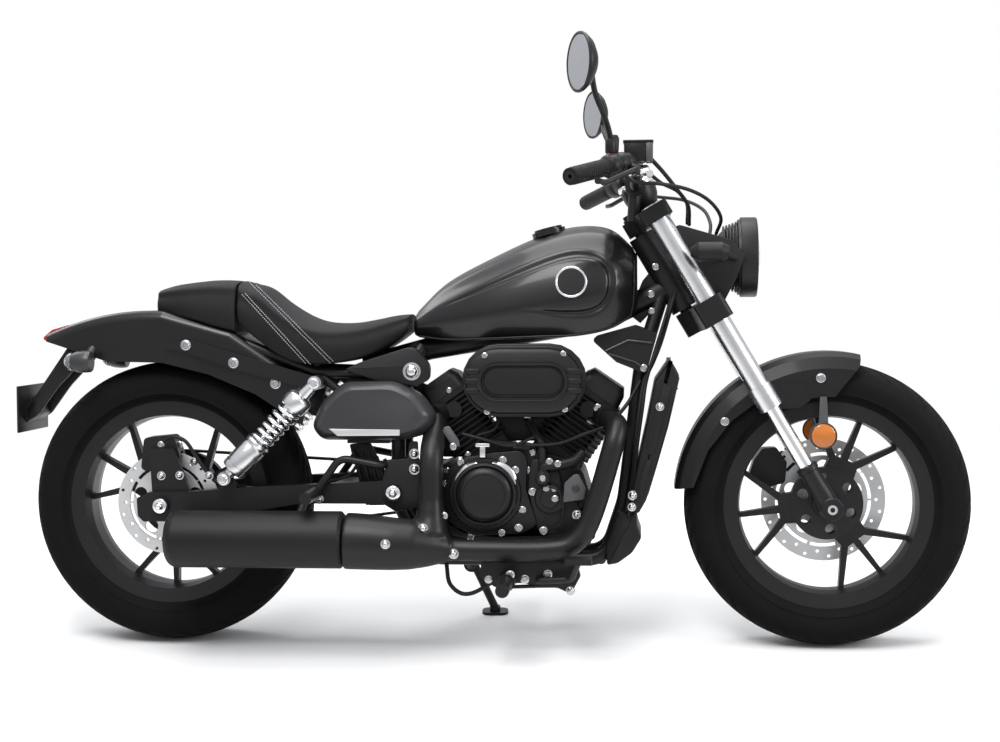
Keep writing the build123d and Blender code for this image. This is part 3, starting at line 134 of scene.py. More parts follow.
WHITE = (1, 1, 1, 1)
SKY_TINT = (0.95, 0.965, 1.0, 1)
LIT_SKY = dict(From_Min=-0.1, From_Max=0.9, To_Min=0.14, To_Max=0.75)
MIRRORED_SKY = dict(From_Min=-0.15, From_Max=0.55, To_Min=0.5, To_Max=1.0)
LAMPS = {
    # name: place, size in metres, power in watts, aim; places and aims in the bike frame
    "key": ((200, -2100, 3000), 1.6, 95, (700, 0, 450)),
    "top": ((700, 200, 3400), 2.6, 90, (700, 0, 500)),
    "front": ((3600, -1300, 1500), 1.2, 40, (1000, 0, 500)),
    "back": ((-2000, 1500, 3100), 1.6, 35, (300, 0, 500)),
}


def add_lights():
    """Soft sky that brightens upwards and four lamps; the camera sees the world as white."""
    world = bpy.data.worlds.new("studio")
    bpy.context.scene.world = world
    nodes, links = shader_nodes(world)
    nodes.clear()
    height = add_node(nodes, "SeparateXYZ")
    links.new(add_node(nodes, "TexCoord").outputs["Generated"], height.inputs[0])
    skies = []
    for ends in (LIT_SKY, MIRRORED_SKY):
        rise = smooth_ramp(nodes, **ends)
        links.new(height.outputs["Z"], rise.inputs["Value"])
        skies.append(add_node(nodes, "Background", Color=SKY_TINT))
        links.new(rise.outputs["Result"], skies[-1].inputs["Strength"])
    sky = ray_mix(nodes, links, ["Is Glossy Ray"], *skies)
    shown = ray_mix(nodes, links, ["Is Camera Ray", "Is Transmission Ray"], sky,
                    add_node(nodes, "Background", Color=WHITE))
    links.new(shown.outputs[0], add_node(nodes, "OutputWorld").inputs["Surface"])
    for name, (at, size, power, target) in LAMPS.items():
        light = bpy.data.lights.new(name, "AREA")
        light.size = size
        light.energy = power
        lamp = add_object(name, light)
        place = BIKE @ Vector(at)
        aim = (BIKE @ Vector(target) - place).to_track_quat("-Z", "Y")
        lamp.matrix_world = Matrix.Translation(place) @ aim.to_matrix().to_4x4()
    bpy.context.scene.view_settings.view_transform = "Standard"


FLOOR_RADIUS = 14           # metres, as are the two distances over which the floor turns white
FLOOR_FADE = dict(From_Min=0.9, From_Max=2.6)
FLOOR_PAINT = (0.9, 0.9, 0.9, 1)
FLOOR_BOUNCE = (0.22, 0.22, 0.22, 1)


def add_floor():
    """White floor that blends into the white background away from the bike, and throws little light back."""
    mesh = bpy.data.meshes.new("floor")
    shape = bmesh.new()
    bmesh.ops.create_circle(shape, cap_ends=True, segments=96, radius=FLOOR_RADIUS)
    shape.to_mesh(mesh)
    shape.free()
    floor = add_object("floor", mesh)
    material = bpy.data.materials.new("floor_white")
    nodes, links = shader_nodes(material)
    paint = nodes["Principled BSDF"]
    paint.inputs["Base Color"].default_value = FLOOR_PAINT
    paint.inputs["Roughness"].default_value = 0.6
    away = add_node(nodes, "VectorMath")
    away.operation = "LENGTH"
    fade = smooth_ramp(nodes, **FLOOR_FADE)
    lit = add_node(nodes, "MixShader")
    links.new(add_node(nodes, "TexCoord").outputs["Object"], away.inputs[0])
    links.new(away.outputs["Value"], fade.inputs["Value"])
    for source, socket in zip((fade.outputs["Result"], paint.outputs[0],
                               add_node(nodes, "Emission", Color=WHITE).outputs[0]), lit.inputs):
        links.new(source, socket)
    shown = ray_mix(nodes, links, ["Is Camera Ray", "Is Glossy Ray", "Is Transmission Ray"],
                    add_node(nodes, "BsdfDiffuse", Color=FLOOR_BOUNCE), lit)
    links.new(shown.outputs[0], nodes["Material Output"].inputs["Surface"])
    mesh.materials.append(material)


# ---------------------------------------------------------------- materials
BUMP_HEIGHT = 0.0006        # metres
MOTTLE_SCALE, MOTTLE_ENDS = 9.0, (0.3, 0.72)
COAT_ROUGHNESS, LEAST_ROUGHNESS = 0.12, 0.02
PLASTIC_IOR = 1.49


def grained(name, colour, rough, metal=0.0, grain=900, bump=0.08, mottle=0.18, shine=0.3, coat=0.0, dust=0.0,
            pattern="noise", spread=0.08, clear=0.0):
    """Principled material with fine surface grain, broad colour mottling and uneven roughness."""
    material = bpy.data.materials.new(name)
    nodes, links = shader_nodes(material)
    bsdf = nodes["Principled BSDF"]
    settings = {"Metallic": metal, "Coat Weight": coat, "Coat Roughness": COAT_ROUGHNESS,
                "Specular IOR Level": shine}
    if clear:
        settings.update({"Transmission Weight": clear, "IOR": PLASTIC_IOR})
    for socket, value in settings.items():
        bsdf.inputs[socket].default_value = value
    where = add_node(nodes, "TexCoord").outputs["Object"]
    broad = add_node(nodes, "TexNoise", Scale=MOTTLE_SCALE, Detail=5.0)
    links.new(where, broad.inputs["Vector"])
    tint = add_node(nodes, "ValToRGB")
    dark, pale = tint.color_ramp.elements
    dark.position, pale.position = MOTTLE_ENDS
    dark.color = (*[c * (1 - mottle) for c in colour], 1)
    pale.color = (*[min(1, c * (1 + mottle) + dust) for c in colour], 1)
    links.new(broad.outputs["Fac"], tint.inputs["Fac"])
    links.new(tint.outputs["Color"], bsdf.inputs["Base Color"])
    gloss = add_node(nodes, "MapRange", To_Min=max(LEAST_ROUGHNESS, rough - spread),
                     To_Max=min(1.0, rough + spread))
    links.new(broad.outputs["Fac"], gloss.inputs["Value"])
    links.new(gloss.outputs["Result"], bsdf.inputs["Roughness"])
    if pattern == "noise":
        fine = add_node(nodes, "TexNoise", Scale=grain, Detail=3.0)
        height = fine.outputs["Fac"]
    else:
        fine = add_node(nodes, "TexVoronoi", Scale=grain)
        fine.feature = "DISTANCE_TO_EDGE"
        height = fine.outputs["Distance"]
    links.new(where, fine.inputs["Vector"])
    raised = add_node(nodes, "Bump", Strength=bump, Distance=BUMP_HEIGHT)
    links.new(height, raised.inputs["Height"])
    links.new(raised.outputs["Normal"], bsdf.inputs["Normal"])
    return material


LAMP_LENS = dict(coat=0.8, pattern="voronoi")        # moulded ribs behind a smooth face
LOOKS = [
    # name, colour, roughness, metal, grain, bump, mottling, shine, what else differs
    ("gloss_black", (0.005, 0.005, 0.0054), 0.34, 0, 700, 0.03, 0.1, 0.24, dict(coat=0.3)),
    ("fender_black", (0.008, 0.008, 0.0085), 0.5, 0, 900, 0.05, 0.12, 0.21, dict(coat=0.1)),
    ("satin_black", (0.009, 0.009, 0.0095), 0.4, 0, 1500, 0.12, 0.18, 0.27, {}),
    ("matt_black", (0.008, 0.008, 0.0085), 0.5, 0, 1300, 0.22, 0.25, 0.24, {}),
    ("black_plastic", (0.010, 0.010, 0.0105), 0.48, 0, 1800, 0.18, 0.18, 0.24, {}),
    ("bolt_zinc", (0.5, 0.5, 0.51), 0.26, 1, 900, 0.03, 0.08, 0.3, {}),
    ("chrome", (0.82, 0.82, 0.83), 0.13, 1, 500, 0.02, 0.05, 0.3, dict(spread=0.05)),
    ("silver", (0.6, 0.6, 0.61), 0.27, 1, 900, 0.05, 0.08, 0.3, {}),
    ("disc_steel", (0.66, 0.66, 0.66), 0.34, 0.75, 1200, 0.06, 0.06, 0.3, {}),
    ("tyre_rubber", (0.006, 0.006, 0.0063), 0.78, 0, 1100, 0.25, 0.2, 0.1, dict(dust=0.001)),
    ("grip_rubber", (0.008, 0.008, 0.0084), 0.66, 0, 1400, 0.3, 0.18, 0.18, {}),
    ("seat_black", (0.009, 0.009, 0.0095), 0.6, 0, 1500, 0.4, 0.18, 0.17, dict(pattern="voronoi")),
    ("clear_lens", (0.85, 0.88, 0.9), 0.08, 0, 120, 0.25, 0.1, 0.3, dict(LAMP_LENS, clear=0.85)),
    ("red_lens", (0.62, 0.02, 0.015), 0.08, 0, 260, 0.25, 0.1, 0.3, dict(LAMP_LENS, clear=0.35)),
    ("amber_lens", (0.75, 0.22, 0.02), 0.08, 0, 260, 0.25, 0.1, 0.3, dict(LAMP_LENS, clear=0.3)),
    ("side_cover", (0.035, 0.035, 0.037), 0.42, 0, 1600, 0.06, 0.08, 0.3, dict(coat=0.2)),
    ("thread", (0.30, 0.30, 0.31), 0.7, 0, 2500, 0.4, 0.18, 0.3, {}),
    # painted highlight: pale metallic colour for the strip laid where each side cover's crown catches the light
    ("bare_strip", (0.62, 0.62, 0.63), 0.34, 0.6, 1500, 0.05, 0.05, 0.3, {}),
    ("cast_grey", (0.11, 0.11, 0.113), 0.42, 0.6, 1400, 0.2, 0.18, 0.3, {}),
    ("switch_red", (0.50, 0.02, 0.02), 0.35, 0, 1500, 0.05, 0.18, 0.3, {}),
    ("mirror_glass", (0.68, 0.69, 0.71), 0.1, 1, 5, 0, 0.02, 0.3, dict(spread=0.01)),
    ("dial_face", (0.008, 0.008, 0.009), 0.5, 0, 1200, 0.05, 0.18, 0.3, {}),
    ("dial_white", (0.8, 0.8, 0.8), 0.6, 0, 1200, 0.05, 0.03, 0.3, {}),
]
MATERIALS = {row[0]: grained(*row[:-1], **row[-1]) for row in LOOKS}
SLOT_OF = {s["node"]: s["material_slot"] for s in frame["record"]["subparts"]}
FINISH = {"side_covers": "side_cover", "filler_cap": "gloss_black", "front_fender": "fender_black",
          **dict.fromkeys(("mirrors", "brake_control", "clutch_control", "rear_caliper", "front_caliper",
                           "rear_axle", "swingarm_pivot"), "satin_black")}


def paint_cad_nodes():
    """Gives each node its own finish, or the one that its material slot names."""
    for node, piece in frame["nodes"].items():
        material = MATERIALS[FINISH.get(node, SLOT_OF[node])]
        piece.data.materials.clear()
        piece.data.materials.append(material)


# ---------------------------------------------------------------- mesh building
SAME_PLACE = 0.01       # mm


def finish(name, shape, material, body="chassis", replaces=(), sharp=38):
    """Leans a bike-frame bmesh into place and makes it a piece that rides on a body."""
    bmesh.ops.remove_doubles(shape, verts=shape.verts, dist=SAME_PLACE)
    bmesh.ops.recalc_face_normals(shape, faces=shape.faces)
    TREES[:] = [row for row in TREES if row[0] not in replaces] + [(name, BVHTree.FromBMesh(shape))]
    BODY_OF[name] = body
    shape.transform(BIKE)
    mesh = bpy.data.meshes.new(name)
    shape.to_mesh(mesh)
    shape.free()
    mesh.polygons.foreach_set("use_smooth", [True] * len(mesh.polygons))
    mesh.set_sharp_from_angle(angle=math.radians(sharp))
    mesh.materials.append(MATERIALS[material])
    piece = add_object(name, mesh)
    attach(piece, body)
    if replaces:
        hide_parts(*replaces)
    return piece


def side_vectors(axis):
    """The axis at unit length and two more at right angles to it."""
    axis = Vector(axis).normalized()
    side = axis.orthogonal().normalized()
    return axis, side, axis.cross(side)


def apart(build):
    """Has a helper build in a mesh of its own, which is then added to the shape it is given."""
    def added(shape, *args, **kwargs):
        own = bmesh.new()
        build(own, *args, **kwargs)
        mesh = bpy.data.meshes.new("own")
        own.to_mesh(mesh)
        own.free()
        shape.from_mesh(mesh)
        bpy.data.meshes.remove(mesh)
    return added


@apart
def lathe(shape, profile, at, axis, segments=32):
    """Spins (radius, height) pairs about an axis through a place."""
    axis, side, _ = side_vectors(axis)
    line = [shape.verts.new(Vector(at) + axis * height + side * radius) for radius, height in profile]
    edges = [shape.edges.new(pair) for pair in zip(line, line[1:])]
    bmesh.ops.spin(shape, geom=line + edges, cent=at, axis=axis, angle=2 * math.pi, steps=segments,
                   use_merge=True)


def curve_point(a, b, c, d, t):
    """Catmull-Rom curve: the place at share t of the way from b to c."""
    return 0.5 * (2 * b + (c - a) * t + (2 * a - 5 * b + 4 * c - d) * t * t
                  + (3 * b - a - 3 * c + d) * t ** 3)


def smooth_route(points, steps=8):
    """Smooth curve through the points, with this many steps from each to the next."""
    points = [Vector(p) for p in points]
    points = [points[0] * 2 - points[1]] + points + [points[-1] * 2 - points[-2]]
    spans = zip(points, points[1:], points[2:], points[3:])
    return [curve_point(*span, k / steps) for span in spans for k in range(steps)] + [points[-2]]


def smooth_rows(rows, steps):
    """The rows of numbers, with rows between them that change smoothly from one to the next."""
    columns = [[p.x for p in smooth_route([(value, 0, 0) for value in column], steps)]
               for column in zip(*rows)]
    return list(zip(*columns))


def hoop(shape, at, across, rise, sides, cap):
    """Ring of edges about a place; across and rise are its half width and half height as vectors."""
    frame_of = Matrix((across, rise, across.cross(rise).normalized())).transposed().to_4x4()
    frame_of.translation = at
    made = bmesh.ops.create_circle(shape, cap_ends=cap, segments=sides, radius=1.0, matrix=frame_of)["verts"]
    return list({edge for vert in made for edge in vert.link_edges})


def bridge_all(shape, loops):
    """Joins each loop of edges to the next with faces."""
    for low, high in zip(loops, loops[1:]):
        bmesh.ops.bridge_loops(shape, edges=low + high)


@apart
def tube(shape, route, radius, sides=10):
    """Round tube along the route; radius is one number or one per point."""
    route = [Vector(p) for p in route]
    radii = radius if isinstance(radius, list) else [radius] * len(route)
    side = (route[1] - route[0]).orthogonal().normalized()
    hoops = []
    for k, point in enumerate(route):
        heading = (route[min(k + 1, len(route) - 1)] - route[max(k - 1, 0)]).normalized()
        side = (side - heading * side.dot(heading)).normalized()
        hoops.append(hoop(shape, point, side * radii[k], heading.cross(side) * radii[k], sides,
                          k in (0, len(route) - 1)))
    bridge_all(shape, hoops)


@apart
def skin(shape, rings):
    """Bridges closed rings of places, one after another, and caps both ends."""
    loops = []
    for ring in rings:
        verts = [shape.verts.new(p) for p in ring]
        loops.append([shape.edges.new(pair) for pair in zip(verts, verts[1:] + verts[:1])])
    bridge_all(shape, loops)
    for loop in (loops[0], loops[-1]):
        bmesh.ops.contextual_create(shape, geom=loop)


@apart
def rib_box(shape, low, high, bevel=1.0):
    """Box from its low to its high corner with bevelled edges."""
    size = Vector(high) - Vector(low)
    made = bmesh.ops.create_cube(shape, size=1.0)["verts"]
    bmesh.ops.scale(shape, vec=size, verts=made)
    bmesh.ops.translate(shape, vec=Vector(low) + size / 2, verts=made)
    edges = list({edge for vert in made for edge in vert.link_edges})
    bmesh.ops.bevel(shape, geom=edges, offset=bevel, segments=2, profile=0.5, material=-1, affect="EDGES")


def rounded(points, corner, steps=5):
    """The outline with each corner turned into a curve that starts the given distance before it."""
    out = []
    for k in range(len(points)):
        before, here, after = (Vector(points[(k + d) % len(points)]) for d in (-1, 0, 1))
        back, on = before - here, after - here
        reach = min(corner, back.length * 0.45, on.length * 0.45)
        a, b = here + back.normalized() * reach, here + on.normalized() * reach
        for j in range(steps + 1):
            t = j / steps
            out.append(a * (1 - t) ** 2 + here * 2 * t * (1 - t) + b * t * t)
    return out


def corners(geometry):
    """The vertices among what an operator gave back."""
    return [item for item in geometry if isinstance(item, bmesh.types.BMVert)]


@apart
def slab(shape, points, low_y, high_y, corner=4.0, bevel=1.6):
    """Plate in the XZ plane between two depths, its corners rounded and its rims bevelled."""
    outline = rounded([Vector(p) for p in points], corner) if corner else [Vector(p) for p in points]
    bevel = min(bevel, 0.46 * (high_y - low_y))
    back = shape.faces.new([shape.verts.new((p.x, high_y - bevel, p.y)) for p in outline])
    made = bmesh.ops.extrude_face_region(shape, geom=[back], use_keep_orig=True)["geom"]
    bmesh.ops.translate(shape, verts=corners(made), vec=(0, low_y - high_y + 2 * bevel, 0))
    front = next(item for item in made if isinstance(item, bmesh.types.BMFace))
    walls = list({face for vert in back.verts for face in vert.link_faces})
    bmesh.ops.recalc_face_normals(shape, faces=walls + [front])
    for face in (back, front):
        bmesh.ops.inset_region(shape, faces=[face], thickness=bevel * 0.3, depth=bevel * 0.7)
        bmesh.ops.inset_region(shape, faces=[face], thickness=bevel * 0.7, depth=bevel * 0.3)


def stadium(x, z, width, height, steps=10):
    """Slot outline about a centre."""
    r = height / 2
    out = []
    for side in (1, -1):
        for k in range(steps + 1):
            angle = math.pi * (k / steps - 0.5) + (0 if side > 0 else math.pi)
            out.append((x + side * (width / 2 - r) + r * math.cos(angle), z + r * math.sin(angle)))
    return out


@apart
def band(shape, points, width, low_y, high_y):
    """Closed band of the given width inside an outline, between two depths."""
    middle = shape.faces.new([shape.verts.new((x, low_y + 1, z)) for x, z in points])
    middle.normal_update()
    if middle.normal.y > 0:
        middle.normal_flip()
    ring = bmesh.ops.inset_region(shape, faces=[middle], thickness=width, use_boundary=True,
                                  use_even_offset=True)["faces"]
    bmesh.ops.delete(shape, geom=[middle], context="FACES_ONLY")
    made = bmesh.ops.extrude_face_region(shape, geom=ring, use_keep_orig=True)["geom"]
    bmesh.ops.translate(shape, verts=corners(made), vec=(0, high_y - low_y - 1, 0))
    bmesh.ops.inset_region(shape, faces=ring, thickness=1.0, depth=1.0)


def doubled(shape):
    """Adds the left-hand copy of what was built on the right."""
    made = bmesh.ops.duplicate(shape, geom=shape.verts[:] + shape.edges[:] + shape.faces[:])["geom"]
    bmesh.ops.scale(shape, vec=(1, -1, 1), verts=corners(made))


# ---------------------------------------------------------------- sight lines on to the surfaces
TREES = [(node, BVHTree.FromPolygons([TO_BIKE @ v.co for v in piece.data.vertices],
                                     [tuple(p.vertices) for p in piece.data.polygons]))
         for node, piece in frame["nodes"].items()]
TANK_TREE = dict(TREES)["fuel_tank"]


def seen(x, z, plane_y, only=None):
    """Where the camera's line through (x, plane_y, z) first meets a node or piece: place, normal, name."""
    look = (Vector((x, plane_y, z)) - CAMERA_AT).normalized()
    best = None
    for name, tree in TREES:
        if only and name not in only:
            continue
        hit, normal, _, distance = tree.ray_cast(CAMERA_AT, look)
        if hit is not None and (best is None or distance < best[0]):
            best = (distance, hit, normal, name)
    return best[1:] if best else None


# ---------------------------------------------------------------- bolts
BODY_OF = {node: body for body, nodes in frame["record"]["behaviour"]["bodies"].items() for node in nodes}


def socket_bolt(shape, at, axis, radius):
    """Cap head with a chamfered rim and a hexagon socket."""
    lathe(shape, [(radius * 1.25, -0.5), (radius * 1.25, 0.8), (radius * 1.05, 1.2), (radius, 1.4),
                  (radius, radius * 0.62), (radius * 0.86, radius * 0.78), (radius * 0.5, radius * 0.8)],
          at, axis, 20)
    lathe(shape, [(radius * 0.5, radius * 0.8), (radius * 0.46, radius * 0.35), (0, radius * 0.35)],
          at, axis, 6)


def dome_nut(shape, at, axis, radius):
    """Hexagon nut with a domed end on a washer."""
    lathe(shape, [(radius * 1.25, -0.5), (radius * 1.25, 1.5), (radius * 0.95, 1.9)], at, axis, 28)
    lathe(shape, [(radius, 1.4), (radius, radius * 0.55), (radius * 0.82, radius * 0.68)], at, axis, 6)
    lathe(shape, [(radius * 0.82, radius * 0.6), (radius * 0.74, radius * 0.95),
                  (radius * 0.45, radius * 1.2), (0, radius * 1.28)], at, axis, 24)


BOLTS_SEEN = [
    # plane that the places are read on, kind, and (x, z, head radius)
    (-150, socket_bolt, [(606, 287, 6), (607, 354, 5), (613, 380, 5), (640, 398, 6.5), (656, 413, 5.5),
        (728, 402, 6.5), (754, 382, 6), (780, 382, 5.5), (789, 337, 6.5), (768, 300, 6), (760, 262, 7),
        (725, 252, 6), (661, 244, 6.5), (811, 257, 7), (835, 323, 5.5), (818, 343, 5.5), (833, 342, 5),
        (824, 399, 6), (841, 395, 5.5), (790, 418, 6), (625, 430, 6), (618, 545, 5.5), (923, 510, 6.5),
        (907, 481, 6.5), (972, 516, 5), (697, 155, 6.5), (742, 165, 7.5), (772, 156, 7.5),
        (820, 167, 7.5), (692, 617, 5), (853, 620, 5), (696, 502, 5), (856, 507, 5)]),
    (-150, dome_nut, [(880, 290, 8), (562, 260, 8.5), (483, 227, 8), (625, 208, 8.5), (541, 585, 15),
        (545, 415, 8.5), (545, 383, 9), (345, 320, 8), (866, 133, 7.5)]),
    (-120, socket_bolt, [(1017, 590, 6), (920, 625, 5.5)]),
    (-120, dome_nut, [(1050, 510, 7), (994, 327, 8), (992, 303, 7)]),
    (0, dome_nut, [(42, 383, 8), (-33, 352, 7.5), (8, 353, 7.5), (73, 352, 7.5)]),
    (0, socket_bolt, [(-33, 420, 6), (8, 420, 6), (25, 637, 9), (130, 598, 9), (222, 553, 9),
        (1389, 563, 8), (1188, 471, 7), (1033, 742, 6), (1035, 705, 6), (1043, 800, 6)]),
]


def add_bolts():
    """Fixings where the right side shows them, each seated on the surface that it fastens."""
    shapes = {}
    for plane_y, make, rows in BOLTS_SEEN:
        for x, z, radius in rows:
            hit = seen(x, z, plane_y)
            if hit:
                make(shapes.setdefault(BODY_OF[hit[2]], bmesh.new()), hit[0], RIGHT, radius)
    for body, shape in shapes.items():
        finish(f"bolts_{body}", shape, "bolt_zinc", body)


# ---------------------------------------------------------------- tyres
TYRES = {
    # body: centre x, radius, width, rim half width
    "front_wheel": (WHEELBASE, FRONT_TYRE_R, 120.0, 46.0),
    "rear_wheel": (0.0, REAR_TYRE_R, 140.0, 54.0),
}
TYRE_STEPS, TYRE_PARTS = 720, 24        # round the tyre, and the like parts that it is spun in
TREAD_REACH = 20.0                      # below the crown, cut by the grooves
TREAD_CELL, TREAD_BAND = 3.4, 27.0      # rows across the tread, and how far below the crown they start
TREAD_DEPTH = 4.2
TREAD_PITCH_DEG = 9.0
SHOULDER_FROM, SHOULDER_EDGE = 7.0, 6.0     # from the middle line, and short of the side
SHOULDER_CUT_DEG, SHOULDER_SLANT = 1.5, 0.34
CENTRE_GROOVE = (13.0, 16.5)


def tyre_section(radius, width, rim_half):
    """Half section from the bead over the shoulder to the crown: (distance from the axle, half width)."""
    half = width / 2
    knots = [(206, rim_half - 4), (217, rim_half), (224, rim_half + 3.0), (232, half - 3.0),
             (234, half - 1.2), (236, half - 2.2), (250, half), (264, half - 1.0), (radius - 26, half - 5),
             (radius - 18, half - 9.5), (radius - 11, half - 18), (radius - 5, half - 31),
             (radius - 1.5, half - 44), (radius, 0)]
    route = smooth_route([(r, y, 0) for r, y in knots], 3)
    return [(p.x, max(0.0, p.y)) for p in route]


def groove_depth(turn_deg, across, half):
    """Tread grooves: slanted shoulder cuts on both sides, offset by half a pitch, and two round the tyre."""
    out = abs(across)
    offset = 0 if across > 0 else TREAD_PITCH_DEG / 2
    phase = (turn_deg + offset + (out - SHOULDER_FROM) * SHOULDER_SLANT) % TREAD_PITCH_DEG
    shoulder = SHOULDER_FROM < out < half - SHOULDER_EDGE and phase < SHOULDER_CUT_DEG
    return TREAD_DEPTH if shoulder or CENTRE_GROOVE[0] < out < CENTRE_GROOVE[1] else 0.0


def add_tyre(body, centre_x, radius, width, rim_half):
    """Tyre spun from its section, with the grooves pressed into its tread."""
    shape = bmesh.new()
    half_section = tyre_section(radius, width, rim_half)
    section = [(r, -y) for r, y in half_section] + [(r, y) for r, y in half_section[-2::-1]]
    dense = [section[0]]
    for (r0, y0), (r1, y1) in zip(section, section[1:]):
        count = max(1, round(math.hypot(r1 - r0, y1 - y0) / TREAD_CELL)) if r1 > radius - TREAD_BAND else 1
        dense += [(r0 + (r1 - r0) * k / count, y0 + (y1 - y0) * k / count) for k in range(1, count + 1)]
    axle = Vector((centre_x, 0, radius))
    line = [shape.verts.new((centre_x + r, y, radius)) for r, y in dense]
    edges = [shape.edges.new(pair) for pair in zip(line, line[1:] + line[:1])]
    part = 2 * math.pi / TYRE_PARTS
    bmesh.ops.spin(shape, geom=line + edges, cent=axle, axis=RIGHT, angle=part,
                   steps=TYRE_STEPS // TYRE_PARTS)
    bmesh.ops.spin(shape, geom=shape.verts[:] + shape.edges[:] + shape.faces[:], cent=axle, axis=RIGHT,
                   angle=2 * math.pi - part, steps=TYRE_PARTS - 1, use_duplicate=True)
    bmesh.ops.remove_doubles(shape, verts=shape.verts, dist=0.02)
    for vert in shape.verts:
        out = Vector((vert.co.x - axle.x, 0, vert.co.z - axle.z))
        if out.length > radius - TREAD_REACH:
            turn = round(math.degrees(math.atan2(out.z, out.x)) % 360 * 2) / 2
            vert.co -= out.normalized() * groove_depth(turn, vert.co.y, width / 2)
    finish(f"{body}_tyre", shape, "tyre_rubber", body, [body.replace("_wheel", "_tyre")],
           sharp=50)


# ---------------------------------------------------------------- tank
TANK = [
    # x, floor z, floor half width, widest z, widest half width, shoulder z, shoulder half width, crown z
    (532, 656, 40, 676, 52, 692, 40, 704), (600, 648, 66, 690, 84, 742, 56, 768),
    (700, 650, 92, 708, 116, 786, 74, 822), (800, 654, 104, 726, 132, 824, 86, 866),
    (880, 657, 104, 740, 134, 842, 88, 886), (950, 672, 86, 756, 116, 836, 76, 878),
    (1004, 704, 48, 768, 68, 809, 46, 831),
]
GROOVE = [
    # x and z on the plane y = -130, and the share of the full width and depth there
    (602, 717, 0.0), (665, 746, 0.55), (724, 772, 0.9), (776, 794, 1.0), (830, 814, 1.0), (867, 823, 1.0),
    (896, 824, 0.95), (922, 818, 0.9), (942, 801, 0.85), (951, 779, 0.8), (951, 757, 0.8), (946, 736, 0.8),
    (932, 717, 0.8), (911, 706, 0.8), (885, 702, 0.75), (848, 702, 0.65), (811, 707, 0.4), (757, 712, 0.0),
]
GROOVE_PLANE = -130.0
GROOVE_WIDTH = 22.0
GROOVE_DEPTH = 9.0
GROOVE_CLEAR, TOP_FACING = 40.0, 0.93       # nearer the middle, or more level than this, stays ungrooved
ROUNDEL = (869, 767, 31.0)


def on_plane(x, z, y, read):
    """The place at depth y that the camera sees where the plane y = read has x and z."""
    share = (y - CAMERA_AT.y) / (read - CAMERA_AT.y)
    return Vector((CAMERA_AT.x + (x - CAMERA_AT.x) * share, y, CAMERA_AT.z + (z - CAMERA_AT.z) * share))


def tank_outline(row):
    """Half section of the tank from the middle of its floor to its crown: (y, z) pairs."""
    low_z, low_w, mid_z, mid_w, top_z, top_w, crown_z = row[1:]
    knots = [(0.0, low_z), (low_w * 0.6, low_z), (low_w * 0.94, low_z), (low_w + 3, low_z + 3),
             (low_w + (mid_w - low_w) * 0.62, low_z + (mid_z - low_z) * 0.45), (mid_w, mid_z),
             ((mid_w + top_w) / 2 + (mid_w - top_w) * 0.2, mid_z + (top_z - mid_z) * 0.62), (top_w, top_z),
             (top_w * 0.62, top_z + (crown_z - top_z) * 0.66), (0.0, crown_z)]
    counts = [6, 4, 3, 10, 14, 20, 16, 14, 16]
    knots = [Vector((y, z, 0)) for y, z in knots]
    padded = [knots[0] - AHEAD * 20] + knots + [Vector((-knots[-2].x, knots[-2].y, 0))]
    spans = zip(padded, padded[1:], padded[2:], padded[3:])
    out = [curve_point(*span, k / count) for span, count in zip(spans, counts) for k in range(count)]
    return [(max(0.0, p.x), p.y) for p in out] + [(0.0, crown_z)]


def path_distance(path, x, z):
    """Distance from a place to the polyline, and the value carried along it there."""
    best = (1e9, 0.0)
    for (ax, az, av), (bx, bz, bv) in zip(path, path[1:]):
        dx, dz = bx - ax, bz - az
        t = max(0.0, min(1.0, ((x - ax) * dx + (z - az) * dz) / (dx * dx + dz * dz)))
        gap = math.hypot(x - ax - dx * t, z - az - dz * t)
        if gap < best[0]:
            best = (gap, av + (bv - av) * t)
    return best


def drawn_in(row, x, share):
    """A tank row moved to x and shrunk about its middle."""
    middle = (row[1] + row[7]) / 2
    return (x, *[value * share if k in (1, 3, 5) else middle + (value - middle) * share
                 for k, value in enumerate(row[1:])])


